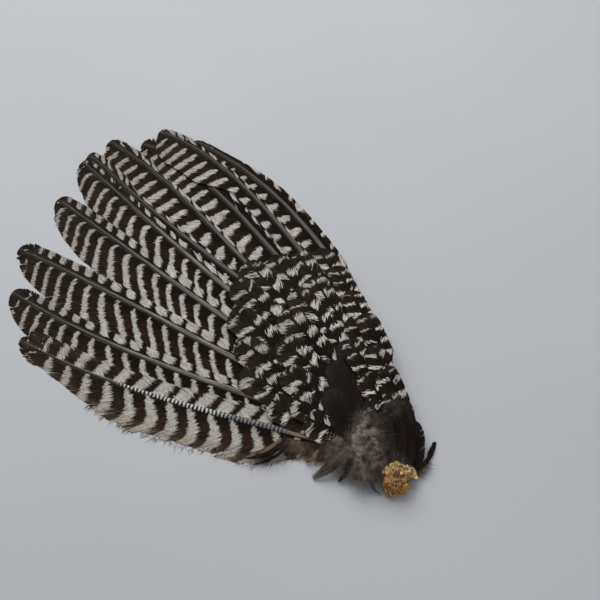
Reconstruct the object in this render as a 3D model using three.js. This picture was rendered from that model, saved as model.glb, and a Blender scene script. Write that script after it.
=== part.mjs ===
// A dried turkey wing: the hand with its ten flight feathers fanned out, lying with its upper side up.
// Millimetres. +X and +Y span the surface that the wing lies on, +Z is up, and the fan opens towards -X +Y.
// The origin is under the middle of the wrist, on the flat underside of the hand.
//
// The pieces are laid down one after another, as they overlap in a real wing. Each new piece sinks on the
// pile of those before it, keeps a little air to them, and then becomes part of the pile.
import * as THREE from 'three';

// ---- Driving dimensions ----

const AIR = 0.3;                // air between two pieces that lie on each other
const FLIGHT_VANE = 0.6;        // thickness of a flight feather's vane
const COVERT_VANE = 0.45;       // thickness of a small feather's vane
const BARE_QUILL = 0.03;        // share of a feather's length that has no vane, from its base
const VANE_GROWS = 0.24;        // share over which the vane then reaches its full width
const NARROW_CLOSES = 0.04;     // share over which a flight feather's narrow vane closes at the tip
const KEEL = 0.75;              // how far a shaft stands out under the vane, in shaft radii
const RIDGE = 0.55;             // how far it stands out above the vane, in shaft radii
const EDGE = 0.7;               // least half width of a feather, at its ends
const GRID = 1.5;               // cell of the height map that holds the pile
const START = 4;                // height from which a sheet sinks on the pile
const ROUNDS = 70;              // rounds in which it sinks
const SINK = 0.25;              // how far it falls in each round
const FIELD = { left: -380, right: 60, near: -70, far: 385 };

// Flight feathers, from the innermost to the one on the leading edge. base and tip are the ends of the
// shaft, bend is how far it turns from the straight line at its base and its tip, in degrees, wide and
// narrow are the widths of the two vanes, quill is the shaft's radius at its base, and closes is the
// share of the length over which the wide vane rounds off to the tip.
const FLIGHT = [
  { base: [-27, 13], tip: [-330, 122], bend: [3, -12], wide: 38, narrow: 17, quill: 2.9, closes: 0.08 },
  { base: [-26, 27], tip: [-342, 171], bend: [3, -10], wide: 37, narrow: 11, quill: 3.0, closes: 0.30 },
  { base: [-25, 40], tip: [-341, 217], bend: [4, 3], wide: 38, narrow: 12, quill: 3.0, closes: 0.28 },
  { base: [-24, 54], tip: [-310, 272], bend: [6, -1], wide: 37, narrow: 11, quill: 3.1, closes: 0.26 },
  { base: [-23, 68], tip: [-290, 315], bend: [7, -3], wide: 34, narrow: 15, quill: 3.1, closes: 0.24 },
  { base: [-22, 82], tip: [-284, 325], bend: [0, -6], wide: 30, narrow: 9, quill: 3.0, closes: 0.20 },
  { base: [-21, 95], tip: [-266, 340], bend: [12, 10], wide: 31, narrow: 8, quill: 3.0, closes: 0.12 },
  { base: [-20, 109], tip: [-234, 338], bend: [5, 20], wide: 28, narrow: 11, quill: 2.8, closes: 0.14 },
  { base: [-19, 123], tip: [-218, 352], bend: [-3, 23], wide: 31, narrow: 7, quill: 2.8, closes: 0.10 },
  { base: [-18, 136], tip: [-183, 340], bend: [-15, 21], wide: 24, narrow: 11, quill: 2.6, closes: 0.16 },
];
// The innermost feather's wide vane and the outermost one's narrow vane thin out towards the tip.
const THINS = { from: 0.6, to: 0.93, least: 0.38 };
// The ninth lies over the outer half of the eighth, and is narrow beside the inner half of it.
const NINTH = 9;
const TUCKED = { width: 13, until: 0.64, over: 0.14 };
const LAY_ORDER = [10, 8, 9, 7, 6, 5, 4, 3, 2, 1];

// Coverts over the flight feathers' quills: a row of long ones, and a row of shorter ones on top.
const GREATER = {
  wide: 17, narrow: 11, quill: 1.0,
  bases: [[-38, 30], [-37, 40], [-38, 50], [-37, 62], [-34, 73], [-31, 86], [-27, 99], [-23, 111],
    [-18, 125]],
  tips: [[-109, 60], [-134, 88], [-136, 118], [-142, 149], [-140, 180], [-131, 201], [-108, 207], [-85, 211],
    [-64, 215]],
};
const MEDIAN = {
  wide: 16, narrow: 11, quill: 0.8,
  bases: [[-30, 22], [-29, 30], [-28, 40], [-26, 53], [-24, 64], [-21, 77], [-18, 91], [-14, 103]],
  tips: [[-78, 41], [-91, 61], [-96, 87], [-100, 116], [-96, 144], [-86, 169], [-71, 183], [-55, 192]],
};
// Short coverts along the leading edge, from the wrist to the outer end of the hand.
const LEADING = {
  wide: 13, narrow: 9, quill: 0.7,
  bases: [[12, 31], [1, 24], [9, 42], [0, 39], [4, 54], [-3, 57], [-3, 84], [-5, 80], [-10, 99], [-19, 121]],
  tips: [[-8, 61], [-26, 54], [-10, 86], [-29, 80], [-20, 106], [-41, 111], [-25, 139], [-38, 135],
    [-38, 166], [-50, 195]],
};
// The dark feathers of the thumb, and the dark ones round the wrist.
const THUMB = {
  wide: 13, narrow: 9, quill: 1.1,
  bases: [[-34, 16], [-27, 22], [-20, 30]],
  tips: [[-58, 66], [-53, 93], [-43, 113]],
};
const WRIST = {
  wide: 12, narrow: 10, quill: 0.6,
  bases: [[-15, -13], [-9, -14], [-2, -15], [4, -15], [9, -14]],
  tips: [[-24, 28], [-13, 43], [-3, 53], [8, 55], [16, 38]],
};
// Coverts under the flight feathers, which lie on the surface beside the hand.
const UNDER = {
  wide: 15, narrow: 12, quill: 0.7,
  bases: [[-32, 30], [-33, 50], [-33, 70], [-34, 92], [-37, 112]],
  tips: [[-118, 62], [-121, 96], [-118, 132], [-112, 166], [-98, 190]],
};

// One small feather that stands out loose beside the wrist.
const LOOSE = { wide: 3, narrow: 2.5, quill: 0.5, base: [19, -4], tip: [32, 24], bend: [-12, 14] };

// The hand: the middle of its sole from the cut wrist to the tip of the finger, with half widths and heights.
const HAND = {
  middle: [[-1, -10], [-4, 12], [-8, 45], [-12, 80], [-18, 115], [-30, 152]],
  halfWidth: [12, 14, 14, 12, 9, 4],
  height: [9, 10, 9, 8, 6, 3],
};
const DOWN_TUFT = { from: [-25, 42], to: [-31, -15], halfWidth: 22, taper: [0.5, 1.1], height: 9, lumps: 7 };
const DRIED_TISSUE = { from: [1, -1], to: [-2, -30], halfWidth: 15, taper: [1.2, 0.8], height: 8, lumps: 5 };
const MOUND_RIM = 0.8;          // thickness of a mound at its rim
const MOUND_END = 0.2;          // width of a mound at its ends, as a share of its full width
const LUMP_DEPTH = 0.16;        // height of the lumps on a mound, as a share of its height

const COLOURS = {
  barred: 0x4a433b, dark: 0x231d19, grey: 0x8d857b, down: 0x6b5f57, tissue: 0xb98a35, skin: 0x6a5140,
};

// ---- The pile: a map of how high the pieces laid so far reach ----

class Pile {
  constructor() {
    this.columns = Math.ceil((FIELD.right - FIELD.left) / GRID);
    this.rows = Math.ceil((FIELD.far - FIELD.near) / GRID);
    this.height = new Float32Array(this.columns * this.rows).fill(-AIR);
  }

  // The cells that a triangle covers in plan, each with the shares of the three corners there.
  cellsUnder(a, b, c) {
    const area = (b.x - a.x) * (c.y - a.y) - (c.x - a.x) * (b.y - a.y);
    const reach = 0.75 * GRID;
    const longest = Math.max(a.distanceTo(b), b.distanceTo(c), c.distanceTo(a));
    const slack = reach * longest / Math.abs(area);
    const firstColumn = Math.floor((Math.min(a.x, b.x, c.x) - reach - FIELD.left) / GRID);
    const lastColumn = Math.ceil((Math.max(a.x, b.x, c.x) + reach - FIELD.left) / GRID);
    const firstRow = Math.floor((Math.min(a.y, b.y, c.y) - reach - FIELD.near) / GRID);
    const lastRow = Math.ceil((Math.max(a.y, b.y, c.y) + reach - FIELD.near) / GRID);
    const found = [];
    for (let row = firstRow; row < lastRow; row += 1) {
      for (let column = firstColumn; column < lastColumn; column += 1) {
        const x = FIELD.left + (column + 0.5) * GRID;
        const y = FIELD.near + (row + 0.5) * GRID;
        const shareB = ((x - a.x) * (c.y - a.y) - (c.x - a.x) * (y - a.y)) / area;
        const shareC = ((b.x - a.x) * (y - a.y) - (x - a.x) * (b.y - a.y)) / area;
        const shareA = 1 - shareB - shareC;
        if (Math.min(shareA, shareB, shareC) >= -slack) {
          const kept = [shareA, shareB, shareC].map((share) => Math.min(1, Math.max(0, share)));
          const sum = kept[0] + kept[1] + kept[2];
          found.push({ cell: row * this.columns + column, shares: kept.map((share) => share / sum) });
        }
      }
    }
    return found;
  }
}

const pile = new Pile();

// ---- A sheet: a grid of points in plan, with a depth below and a thickness above its middle surface ----

// route(s) gives the middle in plan for s from 0 to 1, stations are the values of s, and across(s) gives
// the offsets to the left of the route, the depths below and the thicknesses above for one station.
function sheet(route, stations, across) {
  const points = [];
  const below = [];
  const above = [];
  for (const s of stations) {
    const middle = route.getPoint(s);
    const ahead = route.getTangent(s);
    const profile = across(s);
    for (let column = 0; column < profile.offset.length; column += 1) {
      const offset = profile.offset[column];
      points.push(new THREE.Vector2(middle.x - ahead.y * offset, middle.y + ahead.x * offset));
      below.push(profile.below[column]);
      above.push(profile.above[column]);
    }
  }
  return { points, below, above, rows: stations.length, columns: points.length / stations.length };
}

function sheetTriangles(rows, columns) {
  const triangles = [];
  for (let row = 0; row + 1 < rows; row += 1) {
    for (let column = 0; column + 1 < columns; column += 1) {
      const corner = row * columns + column;
      triangles.push([corner, corner + 1, corner + columns]);
      triangles.push([corner + columns, corner + 1, corner + columns + 1]);
    }
  }
  return triangles;
}

const weighted = (values, shares) => values.reduce((sum, value, i) => sum + value * shares[i], 0);

// Lets a sheet sink on the pile: it falls a little, its bends even out, and where it would enter the pile
// it is lifted clear again. Gives the height of the middle surface at each point.
function settle(plan, start, rounds) {
  const { points, below, rows, columns } = plan;
  const height = points.map(() => start);
  const footprints = sheetTriangles(rows, columns).map((corners) => ({
    corners,
    cells: pile.cellsUnder(...corners.map((corner) => points[corner])),
  }));
  const lack = (corners, { cell, shares }) => {
    const undersides = corners.map((corner) => height[corner] - below[corner]);
    return pile.height[cell] + AIR - weighted(undersides, shares);
  };
  for (let round = 0; round < rounds; round += 1) {
    const before = height.slice();
    for (let row = 0; row < rows; row += 1) {
      for (let column = 0; column < columns; column += 1) {
        const here = row * columns + column;
        const back = before[Math.max(row - 1, 0) * columns + column];
        const on = before[Math.min(row + 1, rows - 1) * columns + column];
        const left = before[row * columns + Math.max(column - 1, 0)];
        const right = before[row * columns + Math.min(column + 1, columns - 1)];
        height[here] = 0.4 * before[here] + 0.2 * (back + on) + 0.1 * (left + right) - SINK;
      }
    }
    for (const { corners, cells } of footprints) {
      for (const spot of cells) {
        const missing = lack(corners, spot);
        if (missing > 0) {
          const weight = spot.shares.reduce((sum, share) => sum + share * share, 0);
          corners.forEach((corner, i) => {
            height[corner] += missing * spot.shares[i] / weight;
          });
        }
      }
    }
  }
  let lifted = true;
  while (lifted) {
    lifted = false;
    for (const { corners, cells } of footprints) {
      const missing = Math.max(...cells.map((spot) => lack(corners, spot)));
      if (missing > 0.001) {
        corners.forEach((corner) => {
          height[corner] += missing;
        });
        lifted = true;
      }
    }
  }
  return { height, footprints };
}

// The closed solid between the two faces of a sheet.
function solidOf(plan, lower, upper) {
  const { points, rows, columns } = plan;
  const count = points.length;
  const position = new Float32Array(count * 6);
  points.forEach((point, i) => {
    position.set([point.x, point.y, lower[i]], i * 3);
    position.set([point.x, point.y, upper[i]], (count + i) * 3);
  });
  const index = [];
  for (const [a, b, c] of sheetTriangles(rows, columns)) {
    index.push(count + a, count + b, count + c);
    index.push(a, c, b);
  }
  const rim = [];
  for (let column = 0; column + 1 < columns; column += 1) rim.push(column);
  for (let row = 0; row + 1 < rows; row += 1) rim.push(row * columns + columns - 1);
  for (let column = columns - 1; column > 0; column -= 1) rim.push((rows - 1) * columns + column);
  for (let row = rows - 1; row > 0; row -= 1) rim.push(row * columns);
  rim.forEach((a, i) => {
    const b = rim[(i + 1) % rim.length];
    index.push(a, b, count + b, a, count + b, count + a);
  });
  const geometry = new THREE.BufferGeometry();
  geometry.setAttribute('position', new THREE.BufferAttribute(position, 3));
  geometry.setIndex(index);
  geometry.computeVertexNormals();
  return geometry;
}

function meshOf(name, geometry, colour) {
  const material = new THREE.MeshStandardMaterial({ color: colour, roughness: 0.75, metalness: 0 });
  const mesh = new THREE.Mesh(geometry, material);
  mesh.name = name;
  return mesh;
}

// Lays a sheet on the pile as a new piece. Its top face then carries what comes next. A flat piece has no
// rounds to bend in, so its underside stays level on the surface.
function lay(name, plan, colour, flat = false) {
  const { height, footprints } = flat ? settle(plan, 0, 0) : settle(plan, START, ROUNDS);
  const lower = height.map((middle, i) => middle - plan.below[i]);
  const upper = height.map((middle, i) => middle + plan.above[i]);
  for (const { corners, cells } of footprints) {
    for (const { cell, shares } of cells) {
      const top = weighted(corners.map((corner) => upper[corner]), shares);
      pile.height[cell] = Math.max(pile.height[cell], top);
    }
  }
  return meshOf(name, solidOf(plan, lower, upper), colour);
}

// ---- Feathers ----

const smooth = (x) => THREE.MathUtils.smoothstep(x, 0, 1);

// The shaft in plan: a cubic that leaves its base and reaches its tip turned by the two bends.
function shaftRoute(base, tip, bend) {
  const from = new THREE.Vector2(...base);
  const to = new THREE.Vector2(...tip);
  const third = to.clone().sub(from).divideScalar(3);
  const origin = new THREE.Vector2();
  const leaving = third.clone().rotateAround(origin, THREE.MathUtils.degToRad(bend[0]));
  const arriving = third.clone().rotateAround(origin, THREE.MathUtils.degToRad(bend[1]));
  return new THREE.CubicBezierCurve(from, from.clone().add(leaving), to.clone().sub(arriving), to);
}

// Even steps along the vane, then steps that close the round tip, which starts at the share 1 - round.
function featherStations(round, even, closing) {
  const stations = [];
  for (let i = 0; i < even; i += 1) stations.push((1 - round) * i / even);
  for (let i = 0; i <= closing; i += 1) {
    stations.push(1 - round + round * Math.sin(Math.PI / 2 * i / closing));
  }
  return stations;
}

// How wide a vane is at the share s of the shaft: none on the quill, full along the middle, and an ellipse
// over the last share that closes it.
function vaneWidth(s, full, closes) {
  const grown = THREE.MathUtils.clamp((s - BARE_QUILL) / VANE_GROWS, 0, 1);
  const past = Math.max(0, (s - 1 + closes) / closes);
  return full * grown * Math.sqrt(Math.max(0, 1 - past * past));
}

// The left and right offsets, depths and thicknesses of a feather at one station. The two forms are a
// ridged shaft between flat vanes, and a plain ridge for small feathers.
function featherProfile(wide, narrow, radius, vane, plain) {
  if (plain) {
    const ridge = vane + RIDGE * radius;
    return { offset: [wide, 0, -narrow], below: [0, KEEL * radius, 0], above: [vane, ridge, vane] };
  }
  return {
    offset: [wide, (wide + radius) / 2, radius, 0, -radius, -narrow],
    below: [0, 0, 0, KEEL * radius, 0, 0],
    above: [vane, vane, vane, vane + RIDGE * radius, vane, vane],
  };
}

const shaftRadius = (s, quill) => THREE.MathUtils.lerp(quill, 0.15 * quill, s);

function flightFeather(place) {
  const shape = FLIGHT[place - 1];
  const route = shaftRoute(shape.base, shape.tip, shape.bend);
  const across = (s) => {
    const radius = shaftRadius(s, shape.quill);
    const thinned = THREE.MathUtils.lerp(1, THINS.least, smooth((s - THINS.from) / (THINS.to - THINS.from)));
    const tucked = smooth((s - TUCKED.until) / TUCKED.over);
    const full = place === NINTH ? THREE.MathUtils.lerp(TUCKED.width, shape.wide, tucked) : shape.wide;
    const wide = vaneWidth(s, full, shape.closes) * (place === 1 ? thinned : 1);
    const narrow = vaneWidth(s, shape.narrow, NARROW_CLOSES) * (place === FLIGHT.length ? thinned : 1);
    const least = radius + EDGE;
    return featherProfile(Math.max(wide, least), Math.max(narrow, least), radius, FLIGHT_VANE, false);
  };
  const stations = featherStations(0.25, 10, 5);
  return lay(`flight_feather_${number(place)}`, sheet(route, stations, across), COLOURS.barred);
}

function smallFeather(name, shape, colour) {
  const route = shaftRoute(shape.base, shape.tip, shape.bend);
  const closes = 0.9 * shape.wide / route.getLength();
  const across = (s) => {
    const radius = shaftRadius(s, shape.quill);
    const wide = Math.max(vaneWidth(s, shape.wide, closes), radius + EDGE);
    const narrow = Math.max(vaneWidth(s, shape.narrow, closes), radius + EDGE);
    return featherProfile(wide, narrow, radius, COVERT_VANE, true);
  };
  return lay(name, sheet(route, featherStations(closes, 5, 3), across), colour);
}

const number = (i) => String(i).padStart(2, '0');

// A row of small feathers, laid from the last to the first.
function featherRow(name, row, bend, colour) {
  return row.bases.map((base, i) => [`${name}_${number(i + 1)}`, { ...row, base, tip: row.tips[i], bend }])
    .reverse()
    .map(([label, shape]) => smallFeather(label, shape, colour));
}

// ---- The hand, the down and the dried tissue ----

// A low mound on an oval plan that tapers: highest in the middle, with shallow lumps.
function mound(name, shape, colour) {
  const route = shaftRoute(shape.from, shape.to, [0, 0]);
  const shares = [1, 0.7, 0.3, -0.1, -0.5, -0.8, -1];
  const across = (s) => {
    const oval = Math.sqrt(Math.max(0, 1 - (2 * s - 1) ** 2));
    const half = shape.halfWidth * THREE.MathUtils.lerp(...shape.taper, s);
    const lump = (share) => Math.sin(shape.lumps * (share + 2.3 * s)) * Math.cos(shape.lumps * (s - share));
    const dome = (share) => oval * Math.sqrt(1 - share * share) * (1 + LUMP_DEPTH * lump(share));
    return {
      offset: shares.map((share) => share * half * Math.max(oval, MOUND_END)),
      below: shares.map(() => 0),
      above: shares.map((share) => MOUND_RIM + shape.height * dome(share)),
    };
  };
  const stations = Array.from({ length: 10 }, (_, i) => (1 - Math.cos(Math.PI * i / 9)) / 2);
  return lay(name, sheet(route, stations, across), colour);
}

function between(values, s) {
  const place = s * (values.length - 1);
  const first = Math.min(Math.floor(place), values.length - 2);
  return THREE.MathUtils.lerp(values[first], values[first + 1], place - first);
}

function hand() {
  const route = new THREE.SplineCurve(HAND.middle.map((point) => new THREE.Vector2(...point)));
  const stations = Array.from({ length: 11 }, (_, i) => i / 10);
  const across = (s) => {
    const half = between(HAND.halfWidth, s);
    const height = between(HAND.height, s);
    const shares = [1, 0.8, 0.35, -0.35, -0.8, -1];
    return {
      offset: shares.map((share) => share * half),
      below: shares.map(() => 0),
      above: shares.map((share) => height * (0.3 + 0.7 * Math.sqrt(1 - share * share))),
    };
  };
  return lay('hand', sheet(route, stations, across), COLOURS.skin, true);
}

// ---- The wing ----

const wing = new THREE.Group();
wing.add(hand());
wing.add(...featherRow('under_covert', UNDER, [6, -6], COLOURS.grey));
for (const place of LAY_ORDER) {
  wing.add(flightFeather(place));
}
wing.add(...featherRow('greater_covert', GREATER, [5, -5], COLOURS.barred));
wing.add(...featherRow('median_covert', MEDIAN, [5, -5], COLOURS.barred));
wing.add(...featherRow('thumb_feather', THUMB, [0, 4], COLOURS.dark));
wing.add(...featherRow('leading_covert', LEADING, [4, 4], COLOURS.barred));
wing.add(...featherRow('wrist_feather', WRIST, [0, 0], COLOURS.dark));
wing.add(smallFeather('loose_feather', LOOSE, COLOURS.dark));
wing.add(mound('dried_tissue', DRIED_TISSUE, COLOURS.tissue));
wing.add(mound('down_tuft', DOWN_TUFT, COLOURS.down));

export default wing;
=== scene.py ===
"""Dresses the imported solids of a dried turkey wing: barred feathers, down, tissue, floor, light and camera.

Lengths in the tables are millimetres, in the frame of the solids: +Z up, the fan opening towards -X +Y.
"""

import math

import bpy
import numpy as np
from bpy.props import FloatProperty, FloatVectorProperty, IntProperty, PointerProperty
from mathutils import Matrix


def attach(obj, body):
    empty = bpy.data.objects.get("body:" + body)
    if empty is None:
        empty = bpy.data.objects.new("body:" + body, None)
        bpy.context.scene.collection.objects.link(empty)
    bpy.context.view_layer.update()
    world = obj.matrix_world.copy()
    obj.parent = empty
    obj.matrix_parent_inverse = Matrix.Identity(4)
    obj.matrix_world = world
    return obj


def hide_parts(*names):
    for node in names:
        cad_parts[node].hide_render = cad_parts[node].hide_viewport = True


bl_info = {
    "name": "Dried turkey wing",
    "version": (1, 0, 0),
    "blender": (4, 5, 0),
    "location": "3D View > Sidebar > Wing",
    "description": "Builds the feathers, down and dried tissue of a fanned wing around its packed solids",
    "category": "Object",
}

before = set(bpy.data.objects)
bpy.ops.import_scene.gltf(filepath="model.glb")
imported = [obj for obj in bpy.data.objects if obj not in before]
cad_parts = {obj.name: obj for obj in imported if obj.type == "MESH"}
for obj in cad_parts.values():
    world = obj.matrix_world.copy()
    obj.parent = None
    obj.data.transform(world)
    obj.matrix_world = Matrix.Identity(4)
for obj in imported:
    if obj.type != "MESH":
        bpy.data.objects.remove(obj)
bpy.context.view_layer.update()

MM = 0.001

# ---- Sizes that the solids share, in millimetres, and shares of a feather's length ----

FLIGHT_VANE = 0.6       # thickness of a flight feather's vane
COVERT_VANE = 0.45      # thickness of a small feather's vane
BARE_QUILL = 0.03       # share that has no vane, from the base
VANE_GROWS = 0.24       # share over which the vane then reaches its full width
NARROW_CLOSES = 0.04    # share over which a flight feather's narrow vane closes at the tip
KEEL = 0.75             # how far a shaft stands out under the vane, in shaft radii
RIDGE = 0.55            # how far it stands out above the vane, in shaft radii
EDGE = 0.7              # least half width beside the shaft
SHAFT_AT_TIP = 0.15     # the shaft's radius at its tip, as a share of that at its base
# The first feather's wide vane and the last one's narrow vane thin out towards the tip. The ninth lies over
# the outer half of the eighth, and is narrow beside the inner half of it.
THINS = {"from": 0.6, "to": 0.93, "least": 0.38}
TUCKED = {"width": 13, "until": 0.64, "over": 0.14}
NINTH = 9

# ---- Sizes of the dressed wing ----

FOLDED = {"until": 0.89, "over": 0.08}  # where a folded narrow vane unfolds, and over which share
BROAD_QUILL = 1.28      # breadth of a flight feather's shaft in its inner half, as a share of the solid's
ABOVE_FLOOR = 0.03      # least height of a vane's underside
INNER = 5               # the flight feathers up to this one have paler shafts

# Flight feathers from the innermost to the leading edge: ends of the shaft, its turn at both ends in
# degrees, widths of the two vanes, shaft radius at the base, the share that rounds off the wide vane, the
# share of its width that the narrow vane keeps where it lies on the next feather, and how loose it is.
FLIGHT_COLUMNS = ("base", "tip", "bend", "wide", "narrow", "quill", "closes", "folded", "loose")
FLIGHT = [dict(zip(FLIGHT_COLUMNS, row)) for row in (
    ((-27, 13), (-330, 122), (3, -12), 38, 17, 2.9, 0.08, 1.00, 0.4),
    ((-26, 27), (-342, 171), (3, -10), 37, 11, 3.0, 0.30, 1.00, 0.0),
    ((-25, 40), (-341, 217), (4, 3), 38, 12, 3.0, 0.28, 1.00, 0.0),
    ((-24, 54), (-310, 272), (6, -1), 37, 11, 3.1, 0.26, 1.00, 0.0),
    ((-23, 68), (-290, 315), (7, -3), 34, 7, 3.1, 0.24, 1.00, 0.0),
    ((-22, 82), (-284, 325), (0, -6), 30, 9, 3.0, 0.20, 0.55, 0.0),
    ((-21, 95), (-266, 340), (12, 10), 31, 8, 3.0, 0.12, 0.60, 0.0),
    ((-20, 109), (-234, 338), (5, 20), 28, 11, 2.8, 0.14, 1.00, 0.0),
    ((-19, 123), (-218, 352), (-3, 23), 31, 7, 2.8, 0.10, 0.65, 0.0),
    ((-18, 136), (-183, 340), (-15, 21), 24, 11, 2.6, 0.16, 1.00, 0.0),
)]

# Rows of small feathers: widths, shaft radius, turn, the ends of each one's shaft, and how it is barred.
ROWS = {
    "greater_covert": {
        "wide": 17, "narrow": 11, "quill": 1.0, "bend": (5, -5), "pitch": 18.5, "white": 0.29,
        "bases": [(-38, 30), (-37, 40), (-38, 50), (-37, 62), (-34, 73), (-31, 86), (-27, 99), (-23, 111),
                  (-18, 125)],
        "tips": [(-109, 60), (-134, 88), (-136, 118), (-142, 149), (-140, 180), (-131, 201), (-108, 207),
                 (-85, 211), (-64, 215)],
    },
    "median_covert": {
        "wide": 16, "narrow": 11, "quill": 0.8, "bend": (5, -5), "pitch": 17.5, "white": 0.29,
        "bases": [(-30, 22), (-29, 30), (-28, 40), (-26, 53), (-24, 64), (-21, 77), (-18, 91), (-14, 103)],
        "tips": [(-78, 41), (-91, 61), (-96, 87), (-100, 116), (-96, 144), (-86, 169), (-71, 183),
                 (-55, 192)],
    },
    "leading_covert": {
        "wide": 13, "narrow": 9, "quill": 0.7, "bend": (4, 4), "pitch": 13.5, "white": 0.215,
        "bases": [(12, 31), (1, 24), (9, 42), (0, 39), (4, 54), (-3, 57), (-3, 84), (-5, 80), (-10, 99),
                  (-19, 121)],
        "tips": [(-8, 61), (-26, 54), (-10, 86), (-29, 80), (-20, 106), (-41, 111), (-25, 139), (-38, 135),
                 (-38, 166), (-50, 195)],
    },
    "thumb_feather": {
        "wide": 13, "narrow": 9, "quill": 1.1, "bend": (0, 4), "pitch": 12.0, "white": 0.0, "loose": 0.5,
        "bases": [(-34, 16), (-27, 22), (-20, 30)],
        "tips": [(-58, 66), (-53, 93), (-43, 113)],
    },
    "wrist_feather": {
        "wide": 12, "narrow": 10, "quill": 0.6, "bend": (0, 0), "pitch": 10.0, "white": 0.0, "loose": 0.5,
        "closes": 0.44,
        "bases": [(-15, -13), (-9, -14), (-2, -15), (4, -15), (9, -14)],
        "tips": [(-24, 28), (-13, 43), (-3, 53), (8, 55), (16, 38)],
    },
    "under_covert": {
        "wide": 15, "narrow": 12, "quill": 0.7, "bend": (6, -6), "pitch": 11.0, "white": 0.3,
        "bases": [(-32, 30), (-33, 50), (-33, 70), (-34, 92), (-37, 112)],
        "tips": [(-118, 62), (-121, 96), (-118, 132), (-112, 166), (-98, 190)],
    },
}
# The bars of each flight feather. Hook: how strongly those of the wide vane turn towards the tip beside the
# shaft. Outer and inner lean: how far they run towards the tip for each millimetre away from the shaft, in
# the outer part and in the inner part of the feather, which meet at the share of its length in turns at.
# Narrow lean: the same in the narrow vane. Dark wide and dark narrow: how many millimetres beside the shaft
# stay dark. White and narrow white: share of white in the two vanes. Plain: length of the dark tip.
BARRING = {
    "pitch": [19.0] + 9 * [13.8],
    "hook": [0.0, 0.35, 0.45, 1.0, 0.9, 0.5, 0.1, 0.0, 0.0, 0.0],
    "outer_lean": [-0.25, -0.25, -0.25, -0.25, -0.25, -0.10, 0.12, 0.05, 0.22, 0.35],
    "inner_lean": [-0.60, -0.80, -0.80, -0.80, -0.90, -0.90, -0.85, -0.35, 0.15, 0.05],
    "turns_at": [0.82, 0.82, 0.82, 0.82, 0.80, 0.72, 0.66, 0.66, 0.66, 0.66],
    "narrow_lean": [-0.45, 0.3, 0.3, 0.5, 0.9, 1.4, 1.7, 1.7, 1.7, 0.9],
    "dark_wide": [0.8, 1.6, 1.8, 2.0, 2.4, 3.2, 4.0, 4.4, 4.4, 3.6],
    "dark_narrow": [0.2, 3.4, 3.8, 3.8, 3.4, 2.4, 2.4, 6.5, 2.2, 6.0],
    "white": [0.41, 0.38, 0.37, 0.38, 0.38, 0.43, 0.45, 0.46, 0.46, 0.44],
    "narrow_white": [0.44, 0.52, 0.52, 0.52, 0.48, 0.55, 0.60, 0.60, 0.60, 0.60],
    "plain": [24, 19, 19, 6, 5, 4, 4, 4, 4, 4],
}
HOOK_RISE = 2.93        # how far a hooked bar runs towards the tip for each millimetre beside the shaft
HOOK_FADES = 9.0        # distance from the shaft over which the hook fades
COVERT_BOW = 2.2        # how far the bars of a covert bow towards the tip
# The bars of all small feathers, in the terms of BARRING.
PLAIN_FEATHER = {"dark_wide": 0.6, "dark_narrow": 0.6, "plain": 3}
# The small feather that stands out beside the wrist.
LOOSE = {"wide": 3, "narrow": 2.5, "quill": 0.5, "bend": (-12, 14), "base": (19, -4), "tip": (32, 24),
         "pitch": 10.0, "white": 0.0, "loose": 2.0}
DARK_ROWS = ("thumb_feather", "wrist_feather")
GREYER_FEATHER = "wrist_feather_02"

WRIST_FEATHERS = tuple(f"wrist_feather_{place:02d}" for place in range(1, 6))
# Mounds: ends of the plan's long axis, half width, its shares at the two ends, how far the ends turn aside,
# and the depth of the waist between them.
DOWN_TUFT = {"from": (-25, 42), "to": (-29, -14), "half_width": 20, "taper": (0.5, 0.95)}
DRIED_TISSUE = {"from": (1, -1), "to": (-2, -28), "half_width": 15, "taper": (1.1, 0.85), "lean": 4.0,
                "waist": 0.30}
NEAR_RIM = 0.96         # share of its radius up to which a mound reads its solid's heights
LEAST_THICK = 0.3       # least thickness of a mound
# Groups of soft threads: middle and spread of their roots, the way they lie, their number, the piece's slot,
# the least and the greatest thickness, and the solids that they lie on.
WISPS = (
    ((-50, 14, 8), (7.0, 9.0, 3.0), (-0.8, -0.35, -0.15), 1100, 0, (0.16, 0.34),
     ("flight_feather_01", "greater_covert_01", "median_covert_01", "down_tuft")),
    ((-46, 5, 8), (6.0, 7.0, 4.0), (-0.5, -0.5, -0.1), 1300, 0, (0.14, 0.30), ("down_tuft",)),
    ((-31, -8, 7), (8.0, 4.0, 3.5), (-0.1, -0.6, -0.2), 1200, 0, (0.14, 0.30), ("down_tuft",)),
    ((-4, -4, 8), (12.0, 6.0, 4.0), (-0.3, 0.8, 0.15), 1600, 1, (0.11, 0.26), WRIST_FEATHERS),
    ((-17, 2, 8), (6.0, 12.0, 4.0), (0.3, 0.8, 0.15), 600, 1, (0.11, 0.26), WRIST_FEATHERS),
    ((-4, 44, 8), (8.0, 7.0, 3.0), (0.3, 0.6, 0.05), 500, 1, (0.11, 0.26), WRIST_FEATHERS),
)
# Curled blades of barbs at the lower edge: start, bend and end of each, its half width, and its slot.
CURLED_BLADES = [
    ((-94, 24, 10), (-104, 6, 8), (-128, 7, 4), 3.0, 1),
    ((-98, 22, 10), (-110, 10, 8), (-124, 11, 5), 1.6, 0),
    ((-91, 21, 10), (-97, 6, 7), (-114, 5, 2), 1.2, 1),
    ((-67, 12, 10), (-72, 3, 5), (-77, 5, 2), 1.5, 0),
    ((-46, 10, 15), (-52, -3, 11), (-71, -9.5, 1.5), 5.0, 2),
    ((-42, 2, 17), (-40, -8, 12), (-50, -13, 2), 2.2, 1),
]
CLAW = ((-20, -14, 13), (-27, -20, 8), (-15, -24, 1.2))
# Short stiff hairs below the loose feather: the ends of the line that they stand along, and their number.
WRIST_HAIRS = {"from": (11, -8, 4), "to": (22, 4, 4), "count": 420}

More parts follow.
